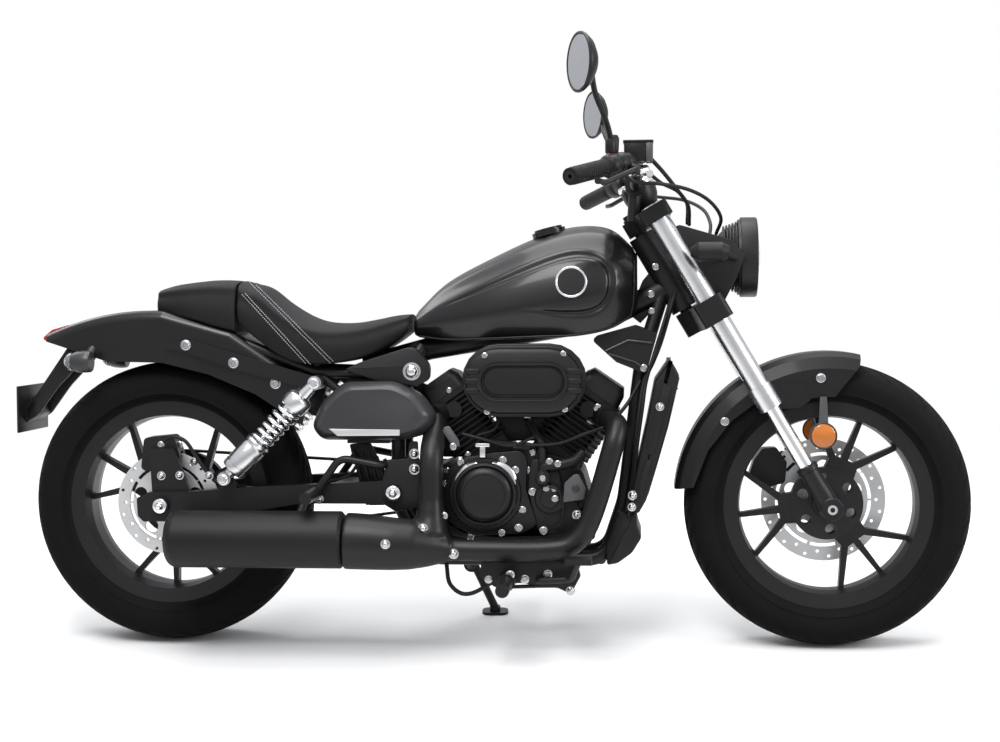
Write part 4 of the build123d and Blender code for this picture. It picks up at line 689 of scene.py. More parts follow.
def add_tank():
    """Tank with the swept groove in each side, the rolled seam round its lower edge and the roundels."""
    rows = smooth_rows(TANK, 22)
    first, last = rows[0], rows[-1]
    rows = ([drawn_in(first, first[0] + step, share) for step, share in ((0.2, 0.5), (0, 0.86), (2, 0.95))]
            + [row for row in rows if first[0] + 6 < row[0] < last[0] - 9]
            + [drawn_in(last, last[0] - step, share)
               for step, share in ((5, 0.985), (1.5, 0.94), (0, 0.85), (0.2, 0.45))])
    path = [tuple(p) for p in smooth_route(GROOVE, 6)]
    shape = bmesh.new()
    rings = []
    for row in rows:
        half = tank_outline(row)
        rings.append([(row[0], -y, z) for y, z in half] + [(row[0], y, z) for y, z in half[-2:0:-1]])
    skin(shape, rings)
    bmesh.ops.recalc_face_normals(shape, faces=shape.faces)
    shape.normal_update()
    moves = []
    for vert in shape.verts:
        y = -abs(vert.co.y)
        if y > -GROOVE_CLEAR or vert.normal.z > TOP_FACING:
            continue
        x, _, z = on_plane(vert.co.x, vert.co.z, GROOVE_PLANE, y)
        gap, value = path_distance(path, x, z)
        reach = GROOVE_WIDTH / 2 * max(0.25, value)
        if value > 0.01 and gap < reach:
            moves.append((vert, GROOVE_DEPTH * value * 0.5 * (1 + math.cos(math.pi * gap / reach))))
    for vert, depth in moves:
        vert.co -= vert.normal * depth
    finish("tank_shell", shape, "gloss_black", "chassis", ["fuel_tank"], sharp=70)

    seam, badge, plate = bmesh.new(), bmesh.new(), bmesh.new()
    for side in (-1, 1):
        edge = [Vector((row[0], side * (row[2] + 2.2), row[1] + 1.0)) for row in rows[4:-6]]
        row = rows[-6]
        edge += [Vector((row[0] + step, side * (row[4] * k + row[2] * (1 - k) - step * 0.4),
                         row[1] + (row[3] - row[1]) * k)) for k, step in ((0.35, 3), (0.7, 5), (1.0, 6))]
        edge.append(Vector((row[0] + 6, side * (row[6] + 4), row[5] - 4)))
        tube(seam, edge, [1.0] + [2.6] * (len(edge) - 2) + [0.8], 10)
        x, z, radius = ROUNDEL
        at, normal, *_ = TANK_TREE.ray_cast(CAMERA_AT, Vector((x, GROOVE_PLANE, z)) - CAMERA_AT)
        if normal.y > 0:
            normal = -normal
        if side > 0:
            at, normal = Vector((at.x, -at.y, at.z)), Vector((normal.x, -normal.y, normal.z))
        lathe(plate, [(0, -6), (radius - 2.5, -6), (radius - 2.5, 1.6), (0, 2.2)], at, normal, 64)
        lathe(badge, [(radius - 2.6, -4), (radius + 1.6, -4), (radius + 1.6, 1.8), (radius + 0.6, 2.6),
                      (radius - 1.6, 2.6), (radius - 2.6, 1.8), (radius - 2.6, -4)], at, normal, 72)
    finish("tank_seam", seam, "satin_black")
    finish("tank_roundel_rim", badge, "silver", "chassis")
    finish("tank_roundel", plate, "gloss_black", "chassis")


# ---------------------------------------------------------------- seats
RIDER_SEAT = [
    # x, underside z, underside half width, shoulder z, shoulder half width, top z
    (160.5, 690, 92, 742, 88, 776), (186, 664, 98, 731, 94, 769), (215, 642, 104, 720, 101, 760),
    (250, 618, 112, 694, 112, 731), (290, 601, 120, 670, 122, 705), (325, 597, 124, 659, 127, 690),
    (360, 598, 126, 655, 128, 684), (405, 604, 118, 657, 119, 684), (450, 618, 104, 665, 104, 691),
    (490, 640, 84, 678, 83, 699), (524, 664, 63, 690, 60, 702),
]
PILLION = [
    (-21, 708, 57, 742, 53, 757), (10, 701, 74, 745, 68, 766), (40, 696, 86, 747, 80, 771),
    (75, 688, 92, 749, 86, 775), (100, 680, 94, 750, 88, 777), (130, 672, 95, 750, 88, 777),
    (158.5, 665, 95, 749, 87, 775),
]
SIDE_STEPS, TOP_STEPS = 9, 14
PAD_SWELL = 5.0             # mm that the sides stand out by
CROWN_POWER = 0.72          # below 1, squares up the rolled edge


def pad_ring(row, pinch=0.0):
    """Section across a pad: base, sides that swell, a rolled edge and a crowned top."""
    x, low_z, low_w, edge_z, edge_w, top_z = row
    half = [(low_w * 0.96, low_z), (low_w, low_z + 4)]
    for k in range(1, SIDE_STEPS + 1):
        t = k / SIDE_STEPS
        half.append((low_w + (edge_w - low_w) * t + PAD_SWELL * math.sin(math.pi * t),
                     low_z + 4 + (edge_z - 6 - low_z) * t))
    for k in range(1, TOP_STEPS + 1):
        turn = k / TOP_STEPS * math.pi / 2
        half.append((edge_w * math.cos(turn),
                     edge_z + 2 + (top_z - edge_z - 2) * math.sin(turn) ** CROWN_POWER))
    return [Vector((x, y * (1 - pinch), low_z + (z - low_z) * (1 - pinch * 0.5)))
            for y, z in half + [(-y, z) for y, z in half[-2::-1]]]


PAD_ENDS = [(0.07, 3.0), (0.02, 0.6)]       # how far each end ring is pinched and drawn in


def add_pad(name, rows, node):
    """Padded seat with closed ends that round off."""
    shape = bmesh.new()
    full = smooth_rows(rows, 5)
    rear = [[p + AHEAD * step for p in pad_ring(full[0], pinch)] for pinch, step in PAD_ENDS]
    front = [[p - AHEAD * step for p in pad_ring(full[-1], pinch)] for pinch, step in PAD_ENDS[::-1]]
    skin(shape, rear + [pad_ring(row) for row in full[1:-1]] + front)
    pad = finish(name, shape, "seat_black", "chassis", [node], sharp=60)
    rounding = pad.modifiers.new("rounding", "SUBSURF")
    rounding.levels = rounding.render_levels = 1


# ---------------------------------------------------------------- shocks
SHOCK_LOW, SHOCK_HIGH, SHOCK_Y = Vector((141, 0, 360)), Vector((335, 0, 561)), 129.0
SPRING_TURNS, SPRING_STEPS = 6.5, 28        # turns, and steps in each
SPRING_FROM, SPRING_TO = 106.0, 208.0       # up from the lower eye
SPRING_R, WIRE_R = 22.5, 4.1


def add_shocks():
    """Rear shocks: polished ends and bodies, wound springs and their rods."""
    body, spring, rod_parts = bmesh.new(), bmesh.new(), bmesh.new()
    for side in (-1, 1):
        low, high = (end + LEFT * SHOCK_Y * side for end in (SHOCK_LOW, SHOCK_HIGH))
        axis, length = (high - low).normalized(), (high - low).length
        lathe(body, [(0, 10), (11, 11), (12, 20), (26, 25), (28, 28), (28, 40), (26.5, 41), (26.5, 44),
                     (28, 45), (28, 92), (26.5, 94), (26.5, 97), (28, 99), (28, 104), (24, 108),
                     (15, 109), (15, 118), (11, 120), (0, 120)], low, axis, 40)
        lathe(body, [(0, 196), (17, 197), (17, 205), (27, 207), (28, 209), (28, 232), (26, 236), (20, 240),
                     (14, 243), (12, length - 10), (0, length - 9)], low, axis, 40)
        for end in (low, high):
            lathe(body, [(7, -11), (14, -11), (15, -9), (15, 9), (14, 11), (7, 11), (7, -11)], end, LEFT, 36)
        lathe(rod_parts, [(0, 118), (6.2, 118), (6.2, 200), (0, 200)], low, axis, 24)
        _, across, other = side_vectors(axis)
        count = int(SPRING_TURNS * SPRING_STEPS)
        route = []
        for k in range(count + 1):
            angle = 2 * math.pi * k / SPRING_STEPS
            route.append(low + axis * (SPRING_FROM + (SPRING_TO - SPRING_FROM) * k / count)
                         + (across * math.cos(angle) + other * math.sin(angle)) * SPRING_R)
        tube(spring, route, WIRE_R, 10)
        for end in (low, high):
            socket_bolt(rod_parts, end + RIGHT * (15 if side < 0 else -15), RIGHT if side < 0 else LEFT, 9)
    finish("shock_bodies", body, "silver", "chassis", ["shocks"])
    finish("shock_springs", spring, "chrome", "chassis", sharp=80)
    finish("shock_rods", rod_parts, "chrome", "chassis")


# ---------------------------------------------------------------- exhaust
FRONT_PIPE = [(939, -72, 481), (962, -122, 472), (957, -146, 442), (946, -150, 402), (931, -150, 350),
              (912, -150, 292), (894, -151, 254), (862, -152, 225), (812, -153, 217), (730, -155, 216),
              (640, -157, 217), (560, -161, 222)]
REAR_PIPE = [(581, -70, 481), (582, -88, 464), (581, -112, 441), (580, -138, 419), (580, -150, 390),
             (579, -152, 350), (578, -156, 248)]
COLLECTOR = [   # x, y, z and radius
    (404, -181, 238, 58.5), (448, -180, 236, 57.5), (500, -178, 232, 54.5), (540, -172, 230, 52),
    (575, -165, 224, 42), (615, -158, 219, 28)]
FLARE = [(579, -153, 320, 25.0), (578, -156, 284, 31.0), (576, -160, 250, 42.0)]
FRONT_PIPE_R, REAR_PIPE_R = 22.5, 25.0
EXHAUST_VOXEL = 0.0034      # metres


def add_exhaust():
    """Header pipes and collector cover run together into one blended shell."""
    shape = bmesh.new()
    tube(shape, smooth_route(FRONT_PIPE, 6), FRONT_PIPE_R, 28)
    tube(shape, smooth_route(REAR_PIPE, 6), REAR_PIPE_R, 28)
    for rows, sides in ((COLLECTOR, 48), (FLARE, 32)):
        tube(shape, [row[:3] for row in rows], [row[3] for row in rows], sides)
    shell = finish("exhaust_shell", shape, "satin_black", replaces=["exhaust_pipes"])
    blend = shell.modifiers.new("blend", "REMESH")
    blend.mode = "VOXEL"
    blend.voxel_size = EXHAUST_VOXEL
    blend.use_smooth_shade = True
    ease = shell.modifiers.new("ease", "SMOOTH")
    ease.factor = 0.5
    ease.iterations = 16


# ---------------------------------------------------------------- engine dress
AIR_CLEANER = (771, 565)        # x and z of its middle
AIR_CLEANER_TIERS = [
    # width, height, outer and inner depth, bevel
    (236, 132, -140, -98, 3), (258, 152, -128, -110, 4), (250, 144, -141, -124, 3),
    (242, 136, -158, -128, 12),
]


def add_air_cleaner():
    """Stadium-shaped air cleaner with stepped rims, two raised bands and ribs at its ends."""
    shape = bmesh.new()
    x, z = AIR_CLEANER
    for width, height, outer, inner, bevel in AIR_CLEANER_TIERS:
        slab(shape, stadium(x, z, width, height), outer, inner, 0, bevel)
    band(shape, stadium(x, z, 186, 80), 7, -164, -150)
    band(shape, stadium(x, z, 168, 62), 3, -161, -150)
    for end in (-1, 1):
        for row in (-20, 0, 20):
            mid = x + end * 104
            rib_box(shape, (mid - 15, -160, z + row - 5.5), (mid + 15, -140, z + row + 5.5), 2.5)
    finish("air_cleaner_shell", shape, "satin_black", "chassis", ["air_cleaner"])


CLUTCH = (687.0, -104.0, 327.0)
OIL_FILLER = (808, -96, 362)
TRIM_ARCS = [(18, 76, 67.5, 77.5), (104, 158, 67.5, 74.5)]      # two angles in degrees and two radii
ARC_STEPS = 26


def add_engine_covers():
    """Right engine covers, their bright trim and plates, and the filling between the castings."""
    shape = bmesh.new()
    slab(shape, [(604, 300), (606, 376), (640, 402), (700, 413), (764, 418), (776, 396), (772, 336),
                 (796, 262), (764, 244), (664, 238), (614, 262)], -104, -82, 12, 3)
    lathe(shape, [(76, -14), (76, 4), (74, 7), (69, 8), (67.5, 8), (67.5, 15), (65.5, 19), (61, 20.5),
                  (59.5, 19), (59, 12), (58, 12), (57.5, 18), (54, 22), (47, 26), (44, 26.5), (43, 24.5),
                  (41, 24), (0, 23), (0, -14), (76, -14)], CLUTCH, RIGHT, 96)
    slab(shape, [(790, 262), (812, 240), (872, 250), (890, 286), (876, 312), (848, 330), (842, 372),
                 (806, 400), (782, 398), (776, 340)], -99, -84, 8, 3)
    lathe(shape, [(32, -4), (32, 8), (29, 11), (20, 11), (19, 14), (16, 15), (0, 15), (0, -4), (32, -4)],
          (822, -98, 318), RIGHT, 48)
    lathe(shape, [(16, -2), (16, 24), (14, 26), (13, 26), (12, 29), (10, 30), (0, 30), (0, -2), (16, -2)],
          OIL_FILLER, RIGHT, 40)
    slab(shape, [(604, 268), (614, 240), (664, 226), (790, 228), (872, 236), (896, 270), (896, 300),
                 (880, 286), (866, 250), (800, 240), (700, 238), (640, 246)], -97, -84, 6, 2)
    for k in range(5):
        z = 268 + 26 * k
        rib_box(shape, (884 - k * 3, -92, z), (893 - k * 3, -80, z + 14), 1.5)
    finish("engine_cover", shape, "satin_black", replaces=["right_cover"])
    bright = bmesh.new()
    for first, last, inner, outer in TRIM_ARCS:
        rings = []
        for k in range(ARC_STEPS + 1):
            angle = math.radians(first + (last - first) * k / ARC_STEPS)
            swell = math.sin(math.pi * k / ARC_STEPS) ** 0.5 if 0 < k < ARC_STEPS else 0.12
            far = inner + (outer - inner) * swell
            rings.append([(CLUTCH[0] + r * math.cos(angle), y, CLUTCH[2] + r * math.sin(angle))
                          for r, y in ((inner, -112.5), (inner, -117), ((inner + far) / 2, -116.5),
                                       (far, -113), (far, -110))])
        skin(bright, rings)
    rib_box(bright, (668, -118, 426), (698, -108, 434), 2)
    rib_box(bright, (677, -117, 404), (689, -109, 428), 2)
    lathe(bright, [(7, 26), (7, 32), (5, 34), (0, 34), (0, 26), (7, 26)], OIL_FILLER, RIGHT, 24)
    finish("engine_bright_trim", bright, "silver", "chassis")
    plate = bmesh.new()
    slab(plate, [(850, 311), (853, 352), (872, 369), (882, 371), (897, 341), (894, 318)], -118, -112, 4, 1.2)
    slab(plate, [(603, 468), (614, 470), (634, 440), (636, 428), (622, 424), (600, 458)], -118, -113, 3, 1.2)
    slab(plate, [(480, 398), (480, 372), (540, 360), (540, 398)], -101, -96, 3, 1.2)
    finish("engine_plates", plate, "cast_grey")
    eye = bmesh.new()
    lathe(eye, [(0, 0), (8.5, 0), (8.5, 2.2), (7, 3), (0, 3)], (876, -118, 341), RIGHT, 32)
    finish("engine_plate_eye", eye, "side_cover")
    filler = bmesh.new()
    slab(filler, [(712, 432), (820, 432), (838, 500), (800, 502), (770, 470), (744, 500), (700, 500)],
         -34, 34, 8, 3)
    slab(filler, [(588, 398), (640, 398), (650, 440), (640, 476), (598, 480)], -40, 40, 8, 3)
    slab(filler, [(396, 428), (440, 432), (508, 300), (436, 298)], -78, -66, 5, 2)
    rib_box(filler, (392, -76, 430), (482, 76, 584), 6)
    rib_box(filler, (410, -100, 470), (470, 100, 530), 6)
    for k in range(5):
        tube(filler, [(404 + 17 * k, -82, 418 - 5 * k), (436 + 17 * k, -82, 300)], 4.2, 12)
    finish("engine_bay_fill", filler, "black_plastic")


def add_frame_plates():
    """Plate round the swingarm pivot and the gusset under the seat."""
    shape = bmesh.new()
    slab(shape, [(472, 352), (482, 398), (526, 402), (530, 438), (548, 438), (549, 400), (560, 396),
                 (566, 330), (552, 300), (500, 290), (474, 306)], -118, -112, 5, 1.6)
    slab(shape, [(392, 588), (470, 560), (545, 552), (572, 566), (574, 596), (545, 630), (528, 634),
                 (430, 604)], -112, -88, 10, 3)
    finish("frame_plates", shape, "satin_black")


def add_radiator():
    """Radiator shroud and its lower panel, side trims, upright fins and cross bars."""
    shape = bmesh.new()
    slab(shape, [(1072, 606), (1090, 574), (1066, 470), (1042, 384), (1022, 316), (1006, 288), (984, 292),
                 (1004, 390), (1022, 470), (1040, 560)], -114, 114, 5, 7)
    slab(shape, [(1002, 290), (1003, 258), (1012, 234), (992, 202), (962, 180), (940, 176), (936, 212),
                 (962, 290)], -88, 88, 6, 6)
    for y in (-118, -114.5):
        slab(shape, [(1058, 560), (1074, 548), (1040, 420), (1026, 408), (1024, 440)], y, y + 4, 4, 1.2)
        slab(shape, [(1022, 400), (1034, 400), (1016, 330), (1004, 318), (1006, 350)], y, y + 4, 4, 1.2)
    finish("radiator_shroud", shape, "matt_black", "chassis", ["radiator"])
    fins = bmesh.new()
    for k in range(33):
        y = -96 + 6 * k
        tube(fins, [(1089.5, y, 568), (1066.5, y, 468), (1043, y, 386), (1025, y, 326)], 1.3, 6)
    for k in range(4):
        x, z = 1084 - 18 * k, 546 - 66 * k
        tube(fins, [(x + 1, -100, z), (x + 1, 100, z)], 2.2, 8)
    finish("radiator_fins", fins, "side_cover")


COVER_RIM = [(323, 468), (345, 520), (392, 562), (500, 564), (558, 536), (590, 490), (566, 452), (520, 440),
             (345, 440)]
COVER_CROWN = [(350, 474), (366, 514), (404, 546), (496, 548), (536, 528), (560, 490), (544, 466),
               (512, 454), (362, 456)]
COVER_DEPTHS = [(0.0, -101), (0.04, -112), (0.3, -126), (0.62, -137), (0.86, -143), (1.0, -145.5)]


def add_covers():
    """Moulded side covers with a pale metallic strip painted on as a highlight, and the ribs of the neck panels.
    """
    shape = bmesh.new()
    rings = []
    for share, y in COVER_DEPTHS:
        outline = [Vector(a).lerp(Vector(b), share ** 1.4) for a, b in zip(COVER_RIM, COVER_CROWN)]
        rings.append([(p.x, y, p.y) for p in rounded(outline, 16, 6)])
    skin(shape, rings)
    doubled(shape)
    finish("side_cover_shells", shape, "side_cover", "chassis", ["side_covers"], sharp=30)
    # pale strip on each cover's crown: a painted highlight, not a part of the cover
    strip = bmesh.new()
    slab(strip, [(366, 466), (514, 464), (514, 452), (384, 451)], -147, -144.5, 1, 0.6)
    doubled(strip)
    finish("side_cover_strips", strip, "bare_strip")
    ribs = bmesh.new()
    for route in ([(938, -74.5, 624), (985, -74.5, 646), (1034, -74.5, 640)],
                  [(944, -74.5, 618), (1000, -74.5, 600), (1014, -74.5, 590)]):
        tube(ribs, route, 2.2, 8)
    doubled(ribs)
    finish("neck_ribs", ribs, "side_cover")


# ---------------------------------------------------------------- front end
FORK_UP = Vector((-0.5075, 0, 0.8616))
LEG_Y = 98.0


def on_fork(s, y=0.0):
    """The place s mm up the fork from the front axle and y mm to the left."""
    return Vector((WHEELBASE, y, FRONT_TYRE_R)) + FORK_UP * s


def add_fork_legs():
    """Bright stanchions in black lower legs, with the axle clamps and the caliper bracket."""
    tubes, feet = bmesh.new(), bmesh.new()
    for y in (-LEG_Y, LEG_Y):
        lathe(tubes, [(0, 98), (16.5, 98), (16.5, 241), (0, 241)], on_fork(0, y), FORK_UP, 48)
        lathe(feet, [(0, -16), (14, -16), (19, -10), (21, 0), (21.5, 40), (20, 56), (20, 88), (22.5, 90),
                     (22.5, 99), (21, 102), (18, 103), (0, 103)], on_fork(0, y), FORK_UP, 48)
        lathe(feet, [(0, -24), (21, -24), (24, -21), (24, 21), (21, 24), (0, 24)], on_fork(0, y), LEFT, 48)
    slab(feet, [(1368, 352), (1330, 345), (1300, 372), (1312, 402), (1352, 392)], 79, 98, 6, 2)
    finish("fork_stanchions", tubes, "chrome", "steering", ["fork_sliders"])
    finish("fork_bottoms", feet, "satin_black", "steering")


HEADLIGHT = (1228, 0, 818)
BUCKET_RIBS = 5


def add_headlight():
    """Ribbed bucket with its rim and reflector bowl, between two brackets."""
    shape = bmesh.new()
    lathe(shape, [(0, -66), (26, -66), (42, -59), (54, -48), (62, -36), (66, -14), (79, -14), (80, -9),
                  (84, -8), (84, 22), (82.5, 25.5), (79, 26), (76, 24), (75.3, 7), (60, 4), (40, -8),
          (0, -12)], HEADLIGHT, AHEAD, 96)
    for k in range(BUCKET_RIBS):
        r, h = 66 + 2.2 * k, -45 + 6.4 * k
        lathe(shape, [(58, h), (r - 1, h), (r, h + 0.8), (r, h + 2.4), (r - 1, h + 3.2), (58, h + 3.2),
                      (58, h)], HEADLIGHT, AHEAD, 72)
    finish("headlight_bucket", shape, "satin_black", "steering", ["headlight_shell"])
    bowl = bmesh.new()
    lathe(bowl, [(72, 7.5), (60, 4.5), (40, -6), (31, -9.5), (30, -8), (40, -4.5), (60, 6), (72, 9),
          (72, 7.5)], HEADLIGHT, AHEAD, 64)
    finish("headlight_bowl", bowl, "chrome", "steering")
    ears = bmesh.new()
    slab(ears, [(1122, 752), (1182, 724), (1206, 770), (1226, 820), (1198, 852), (1090, 884), (1060, 868),
                (1112, 800)], -93, -87, 6, 1.5)
    doubled(ears)
    finish("headlight_brackets", ears, "satin_black", "steering", ["headlight_ears"])


BAR_INWARD = Vector((0.5062, 0.8069, 0.1915)).normalized()      # along the right half, from its end
BAR_END = Vector((880, -430, 960))
GRIP_RIBS, GRIP_PITCH = 14, 7.4
INSTRUMENT = Vector((1010, 0, 952))
INSTRUMENT_UP = Vector((-0.36, 0, 0.933)).normalized()
INSTRUMENT_AHEAD = Vector((0.933, 0, 0.36))
DIAL_MARKS, DIAL_FROM, DIAL_SWEEP = 25, -130, 260       # count, and degrees


def add_controls():
    """Switch housings, brake reservoir, instrument and ribbed grips."""
    black, bright, red, face = bmesh.new(), bmesh.new(), bmesh.new(), bmesh.new()
    axis = BAR_INWARD
    at = BAR_END + axis * 126
    lathe(black, [(0, 0), (15, 0), (20, 3), (23, 8), (23, 30), (21, 33), (21, 36), (23, 39), (22, 58),
                  (18, 62), (0, 62)], at, axis, 36)
    doubled(black)
    for k in range(GRIP_RIBS):
        r, h = 17.2, 8 + GRIP_PITCH * k
        for side in (-1, 1):
            foot = Vector((BAR_END.x, side * abs(BAR_END.y), BAR_END.z))
            turn = Vector((axis.x, -side * axis.y, axis.z))
            lathe(black, [(15, h), (r, h + 1), (r, h + 4.6), (15, h + 5.6)], foot, turn, 28)
    root = BAR_END + axis * 166 + Vector((34, 4, -10))
    lathe(black, [(0, 0), (17, 0), (19, 3), (19, 28), (17, 31), (0, 31)], at + axis * 62, axis, 32)
    tube(black, [at + axis * 78, root], 8.5, 16)
    lathe(black, [(0, -9), (9, -9), (11, -7), (11, 7), (9, 9), (0, 9)], root, UP, 28)
    tube(black, smooth_route([root, root + Vector((2, -34, -2)), BAR_END + Vector((66, 70, -6)),
                              BAR_END + Vector((62, 38, -8)), BAR_END + Vector((52, 4, -8))], 6),
         [7.0] + [5.2] * 22 + [6.0, 6.6], 16)
    tube(black, [root + Vector((-6, 8, 0)), (1000, -236, 1002)], 10.0, 20)
    rib_box(black, (979, -260, 1000), (1021, -212, 1040), 3)
    rib_box(black, (977, -262, 1038), (1037, -210, 1043), 2)
    lathe(black, [(0, 0), (9, 0), (11, 6), (11, 30), (8, 36), (0, 36)], (958, -286, 1014),
          (0.05, 0.1, 1), 28)
    lathe(black, [(0, -40), (18, -39), (29, -28), (36, -8), (38, 8), (38, 17), (0, 17)],
          INSTRUMENT, INSTRUMENT_UP, 56)
    rib_box(face, (1021, -260, 1000), (1036, -212, 1040), 3)
    finish("bar_fittings", black, "satin_black", "steering", ["instrument", "brake_control"])
    finish("reservoir_window", face, "cast_grey", "steering")
    lathe(bright, [(34, 15), (39.5, 15), (41, 17), (41, 24), (39, 27), (35.5, 27), (34, 25), (34, 15)],
          INSTRUMENT, INSTRUMENT_UP, 64)
    lathe(bright, [(0, -20), (9, -20), (11, -17), (11, 17), (9, 20), (0, 20)], (1008, -236, 984),
          (0.9, 0.43, 0.1), 28)
    lathe(bright, [(0, -9), (7, -9), (7, 9), (0, 9)], (1030, -232, 978), LEFT, 20)
    finish("bar_bright", bright, "chrome", "steering")
    rib_box(red, (944, -310, 1002), (968, -294, 1013), 4)
    finish("kill_switch", red, "switch_red", "steering")
    dial, marks = bmesh.new(), bmesh.new()
    lathe(dial, [(0, 17), (34, 17), (34, 19.5), (0, 19.5)], INSTRUMENT, INSTRUMENT_UP, 64)
    for k in range(DIAL_MARKS):
        angle = math.radians(DIAL_FROM + DIAL_SWEEP * k / (DIAL_MARKS - 1))
        way = INSTRUMENT_AHEAD * math.cos(angle) + LEFT * math.sin(angle)
        near = 27 if k % 4 == 0 else 29.5
        tube(marks, [INSTRUMENT + INSTRUMENT_UP * 19.8 + way * reach for reach in (near, 32)], 0.6, 5)
    hub = INSTRUMENT + INSTRUMENT_UP * 20.4
    tube(marks, [hub, hub + (INSTRUMENT_AHEAD * -0.4 + LEFT * 0.9).normalized() * 25], 0.7, 5)
    finish("dial_face", dial, "dial_face", "steering")
    finish("dial_marks", marks, "dial_white", "steering")


@apart
def oval(shape, rows, at, across, normal, steps=56):
    """Turned body with elliptical rings: (half width, half height, height) rows, closed at both ends."""
    across, normal = Vector(across).normalized(), Vector(normal).normalized()
    rise = normal.cross(across)
    hoops = [hoop(shape, Vector(at) + normal * height, across * half_w, rise * half_h, steps,
                  k in (0, len(rows) - 1)) for k, (half_w, half_h, height) in enumerate(rows)]
    bridge_all(shape, hoops)


MIRROR_FACE = Vector((-0.90, -0.436, 0.0))


def add_mirrors():
    """Oval mirrors, both turned to the rider's right shoulder, on curved stems with rubber boots."""
    shells, glass = bmesh.new(), bmesh.new()
    across = Vector((0.436, -0.90, 0))
    for side in (-1, 1):
        at = Vector((905, side * 443, 1170))
        oval(shells, [(16, 14, -19), (34, 30, -17), (48, 46, -8), (54, 55, 2), (55, 56.5, 6), (54.5, 56, 9),
                      (51, 52.5, 9.5), (50.5, 52, 7.5)], at, across, MIRROR_FACE)
        oval(glass, [(50, 51.5, 7.6), (49, 50.5, 8.4)], at, across, MIRROR_FACE)
        foot = Vector((954, side * 296, 1004))
        tube(shells, smooth_route([foot, foot + UP * 36, (944, side * 330, 1078), (926, side * 372, 1122),
                                   at + Vector((2, -side * 6, -6)) - MIRROR_FACE * 14], 7), 5.6, 16)
        lathe(shells, [(0, 8), (9, 8), (11, 12), (11, 34), (9, 38), (0, 38)], foot, UP, 28)
    finish("mirror_shells", shells, "satin_black", "steering", ["mirrors"])
    finish("mirror_glasses", glass, "mirror_glass", "steering")


def add_plate_bracket():
    """Arm behind the fender with the bare upright plate at its end."""
    shape = bmesh.new()
    slab(shape, [(-178, 640), (-190, 606), (-246, 548), (-292, 486), (-314, 474), (-318, 500), (-296, 530),
                 (-254, 590), (-212, 650)], -46, -38, 8, 2)
    doubled(shape)
    slab(shape, [(-292, 488), (-318, 470), (-324, 500), (-298, 532)], -46, 46, 5, 2)
    slab(shape, [(-190, 612), (-214, 640), (-180, 650), (-172, 630)], -46, 46, 5, 2)
    rib_box(shape, (-322, -88, 452), (-317, 88, 552), 1.2)
    finish("plate_arm", shape, "satin_black", "chassis", ["plate_bracket"])


def add_axle_caps():
    """Washers and domed nuts on the rear axle and the swingarm pivot."""
    shape = bmesh.new()
    for at in ((0, -128, 301), (496, -126, 330)):
        lathe(shape, [(0, -1), (15, -1), (15, 1.2), (13.5, 2), (0, 2)], at, RIGHT, 40)
        dome_nut(shape, Vector(at) + RIGHT * 2, RIGHT, 9.5)
    finish("axle_caps", shape, "chrome", "chassis")


CABLES = {
    # body: radius and the points of each
    "steering": [
        (4.2, [(1034, -228, 1006), (1056, -200, 984), (1084, -160, 952), (1108, -104, 922),
            (1112, -40, 886)]),
        (3.6, [(1030, -232, 978), (1054, -190, 962), (1086, -150, 948), (1106, -96, 926),
            (1108, -44, 888)]),
        (3.8, [(976, -272, 978), (1000, -250, 962), (1052, -232, 958), (1106, -180, 950),
            (1150, -130, 930), (1176, -80, 898), (1168, -40, 866)]),
        (3.8, [(976, 272, 978), (1044, 232, 962), (1106, 180, 950), (1146, 120, 926), (1160, 66, 894),
            (1158, 36, 866)]),
    ],
    "chassis": [
        (5.0, [(1082, -30, 742), (1070, -42, 700), (1052, -54, 640), (1036, -60, 600), (1018, -64, 560),
            (1008, -80, 500), (1000, -88, 430), (994, -90, 360), (980, -90, 290)]),
        (4.0, [(1076, -20, 738), (1062, -50, 690), (1040, -66, 620), (1022, -76, 560), (1014, -90, 505),
            (1003, -94, 425), (996, -96, 350), (984, -92, 280)]),
        (4.0, [(1010, -66, 560), (980, -84, 510), (940, -96, 470), (892, -108, 452), (836, -106, 432),
            (760, -100, 430), (700, -96, 436)]),
        (12.0, [(808, -108, 366), (812, -110, 384), (836, -112, 388), (872, -108, 396), (890, -96, 412)]),
        (9.0, [(806, -100, 366), (806, -98, 400), (803, -92, 430), (790, -80, 452), (776, -66, 474)]),
        (3.2, [(822, -112, 344), (838, -114, 338), (848, -114, 318), (850, -114, 292), (845, -112, 270),
            (833, -108, 258)]),
        (4.5, [(602, -96, 204), (606, -108, 172), (612, -112, 140), (634, -112, 120), (660, -112, 120),
            (690, -112, 136), (712, -108, 150)]),
        (4.0, [(694, -106, 146), (720, -116, 135), (800, -118, 137), (846, -114, 137)]),
        (4.0, [(0, -100, 436), (24, -106, 446), (52, -108, 436), (76, -106, 400), (100, -104, 366),
            (124, -102, 346), (180, -106, 340)]),
        (3.5, [(640, -100, 452), (690, -108, 440), (740, -106, 428), (790, -104, 446)]),
        (3.5, [(672, -96, 448), (706, -98, 462), (716, -92, 486)]),
        (3.5, [(330, -100, 340), (360, -106, 352), (400, -104, 366), (424, -98, 400)]),
    ],
}


def add_cables():
    """Hoses and cables along smooth routes, one piece for each body."""
    for body, cables in CABLES.items():
        shape = bmesh.new()
        for radius, points in cables:
            tube(shape, smooth_route(points, 8), radius, 12)
        finish(f"cables_{body}", shape, "black_plastic", body)


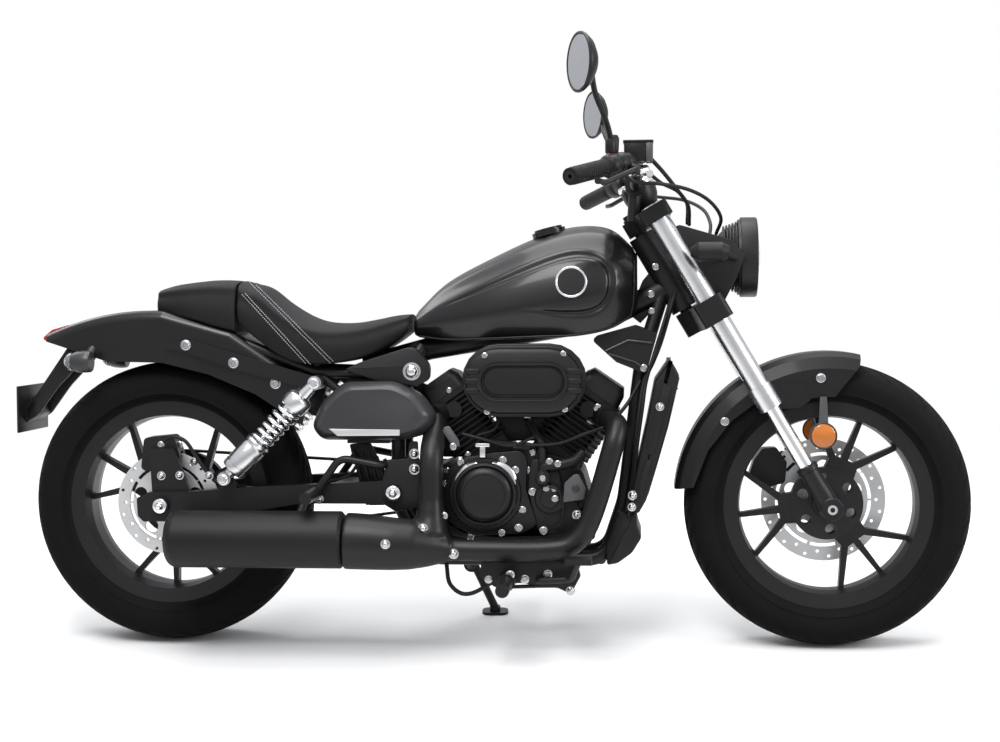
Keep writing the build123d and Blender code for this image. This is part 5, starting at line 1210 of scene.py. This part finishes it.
def add_reflectors():
    """Amber reflectors in dark rims, strapped beside the front wheel."""
    strap, disc, rim = bmesh.new(), bmesh.new(), bmesh.new()
    slab(strap, [(1375, 440), (1379, 528), (1393, 528), (1398, 440)], -79, -76, 2, 0.8)
    at = (1386, -79, 447)
    lathe(disc, [(0, -1), (25, -1), (25, 4), (22, 6), (0, 7)], at, RIGHT, 56)
    lathe(rim, [(24.8, -2), (28, -2), (28, 4.5), (27, 5.5), (25.6, 5.5), (24.8, 4.5), (24.8, -2)],
          at, RIGHT, 56)
    for shape in (strap, disc, rim):
        doubled(shape)
    finish("reflector_straps", strap, "cast_grey", "steering", ["reflectors"])
    finish("reflector_discs", disc, "amber_lens", "steering")
    finish("reflector_rims", rim, "side_cover", "steering")


def add_rear_lamps():
    """Rear indicators on short stalks."""
    shells, lenses = bmesh.new(), bmesh.new()
    at = (-158, -124, 606)
    lathe(shells, [(0, -36), (10, -35), (18, -28), (22, -16), (23.5, 0), (22.5, 12), (21, 14), (0, 14)],
          at, AHEAD, 48)
    tube(shells, smooth_route([(-158, -112, 610), (-154, -98, 626), (-150, -82, 640)], 5), 8.5, 20)
    lathe(lenses, [(0, -44), (8, -43), (15, -38), (19, -31), (19, -27), (0, -27)], at, AHEAD, 48)
    doubled(shells)
    doubled(lenses)
    finish("rear_lamp_shells", shells, "side_cover", replaces=["rear_indicators"])
    finish("rear_lamp_lenses", lenses, "clear_lens", "chassis")


STITCH_PITCH, STITCH_SPAN = 5.2, (0.1, 0.78)
LONGEST_STITCH = 12         # one that would span the gap between the pads is left out
THREAD_R, THREAD_LIFT = 0.95, 0.5
STITCHES = [
    # the two ends of a stitched seam, read on the plane y = 0
    ((164, 775), (343, 597)), ((171, 777), (350, 600)), ((150, 747), (293, 592)), ((157, 749), (300, 594)),
]


def add_stitches():
    """Rows of short stitches laid on the pads."""
    shape = bmesh.new()
    for (x0, z0), (x1, z1) in STITCHES:
        count = round(math.hypot(x1 - x0, z1 - z0) / STITCH_PITCH)
        for k in range(count):
            ends = []
            for share in ((k + end) / count for end in STITCH_SPAN):
                hit = seen(x0 + (x1 - x0) * share, z0 + (z1 - z0) * share, 0, ("rider_pad", "pillion_pad"))
                if hit:
                    at, normal, _ = hit
                    ends.append(at + normal * math.copysign(THREAD_LIFT, -normal.y))
            if len(ends) == 2 and (ends[0] - ends[1]).length < LONGEST_STITCH:
                tube(shape, ends, THREAD_R, 6)
    doubled(shape)
    finish("seat_stitches", shape, "thread", "chassis")


# ---------------------------------------------------------------- make it
add_camera()
add_lights()
add_floor()
paint_cad_nodes()
for wheel, sizes in TYRES.items():
    add_tyre(wheel, *sizes)
add_pad("rider_pad", RIDER_SEAT, "rider_seat")
add_pad("pillion_pad", PILLION, "pillion_seat")
add_shocks()
add_tank()
add_exhaust()
add_air_cleaner()
add_engine_covers()
add_frame_plates()
add_radiator()
add_covers()
add_fork_legs()
add_headlight()
add_controls()
add_mirrors()
add_plate_bracket()
add_axle_caps()
add_reflectors()
add_rear_lamps()
add_cables()
add_stitches()
add_bolts()
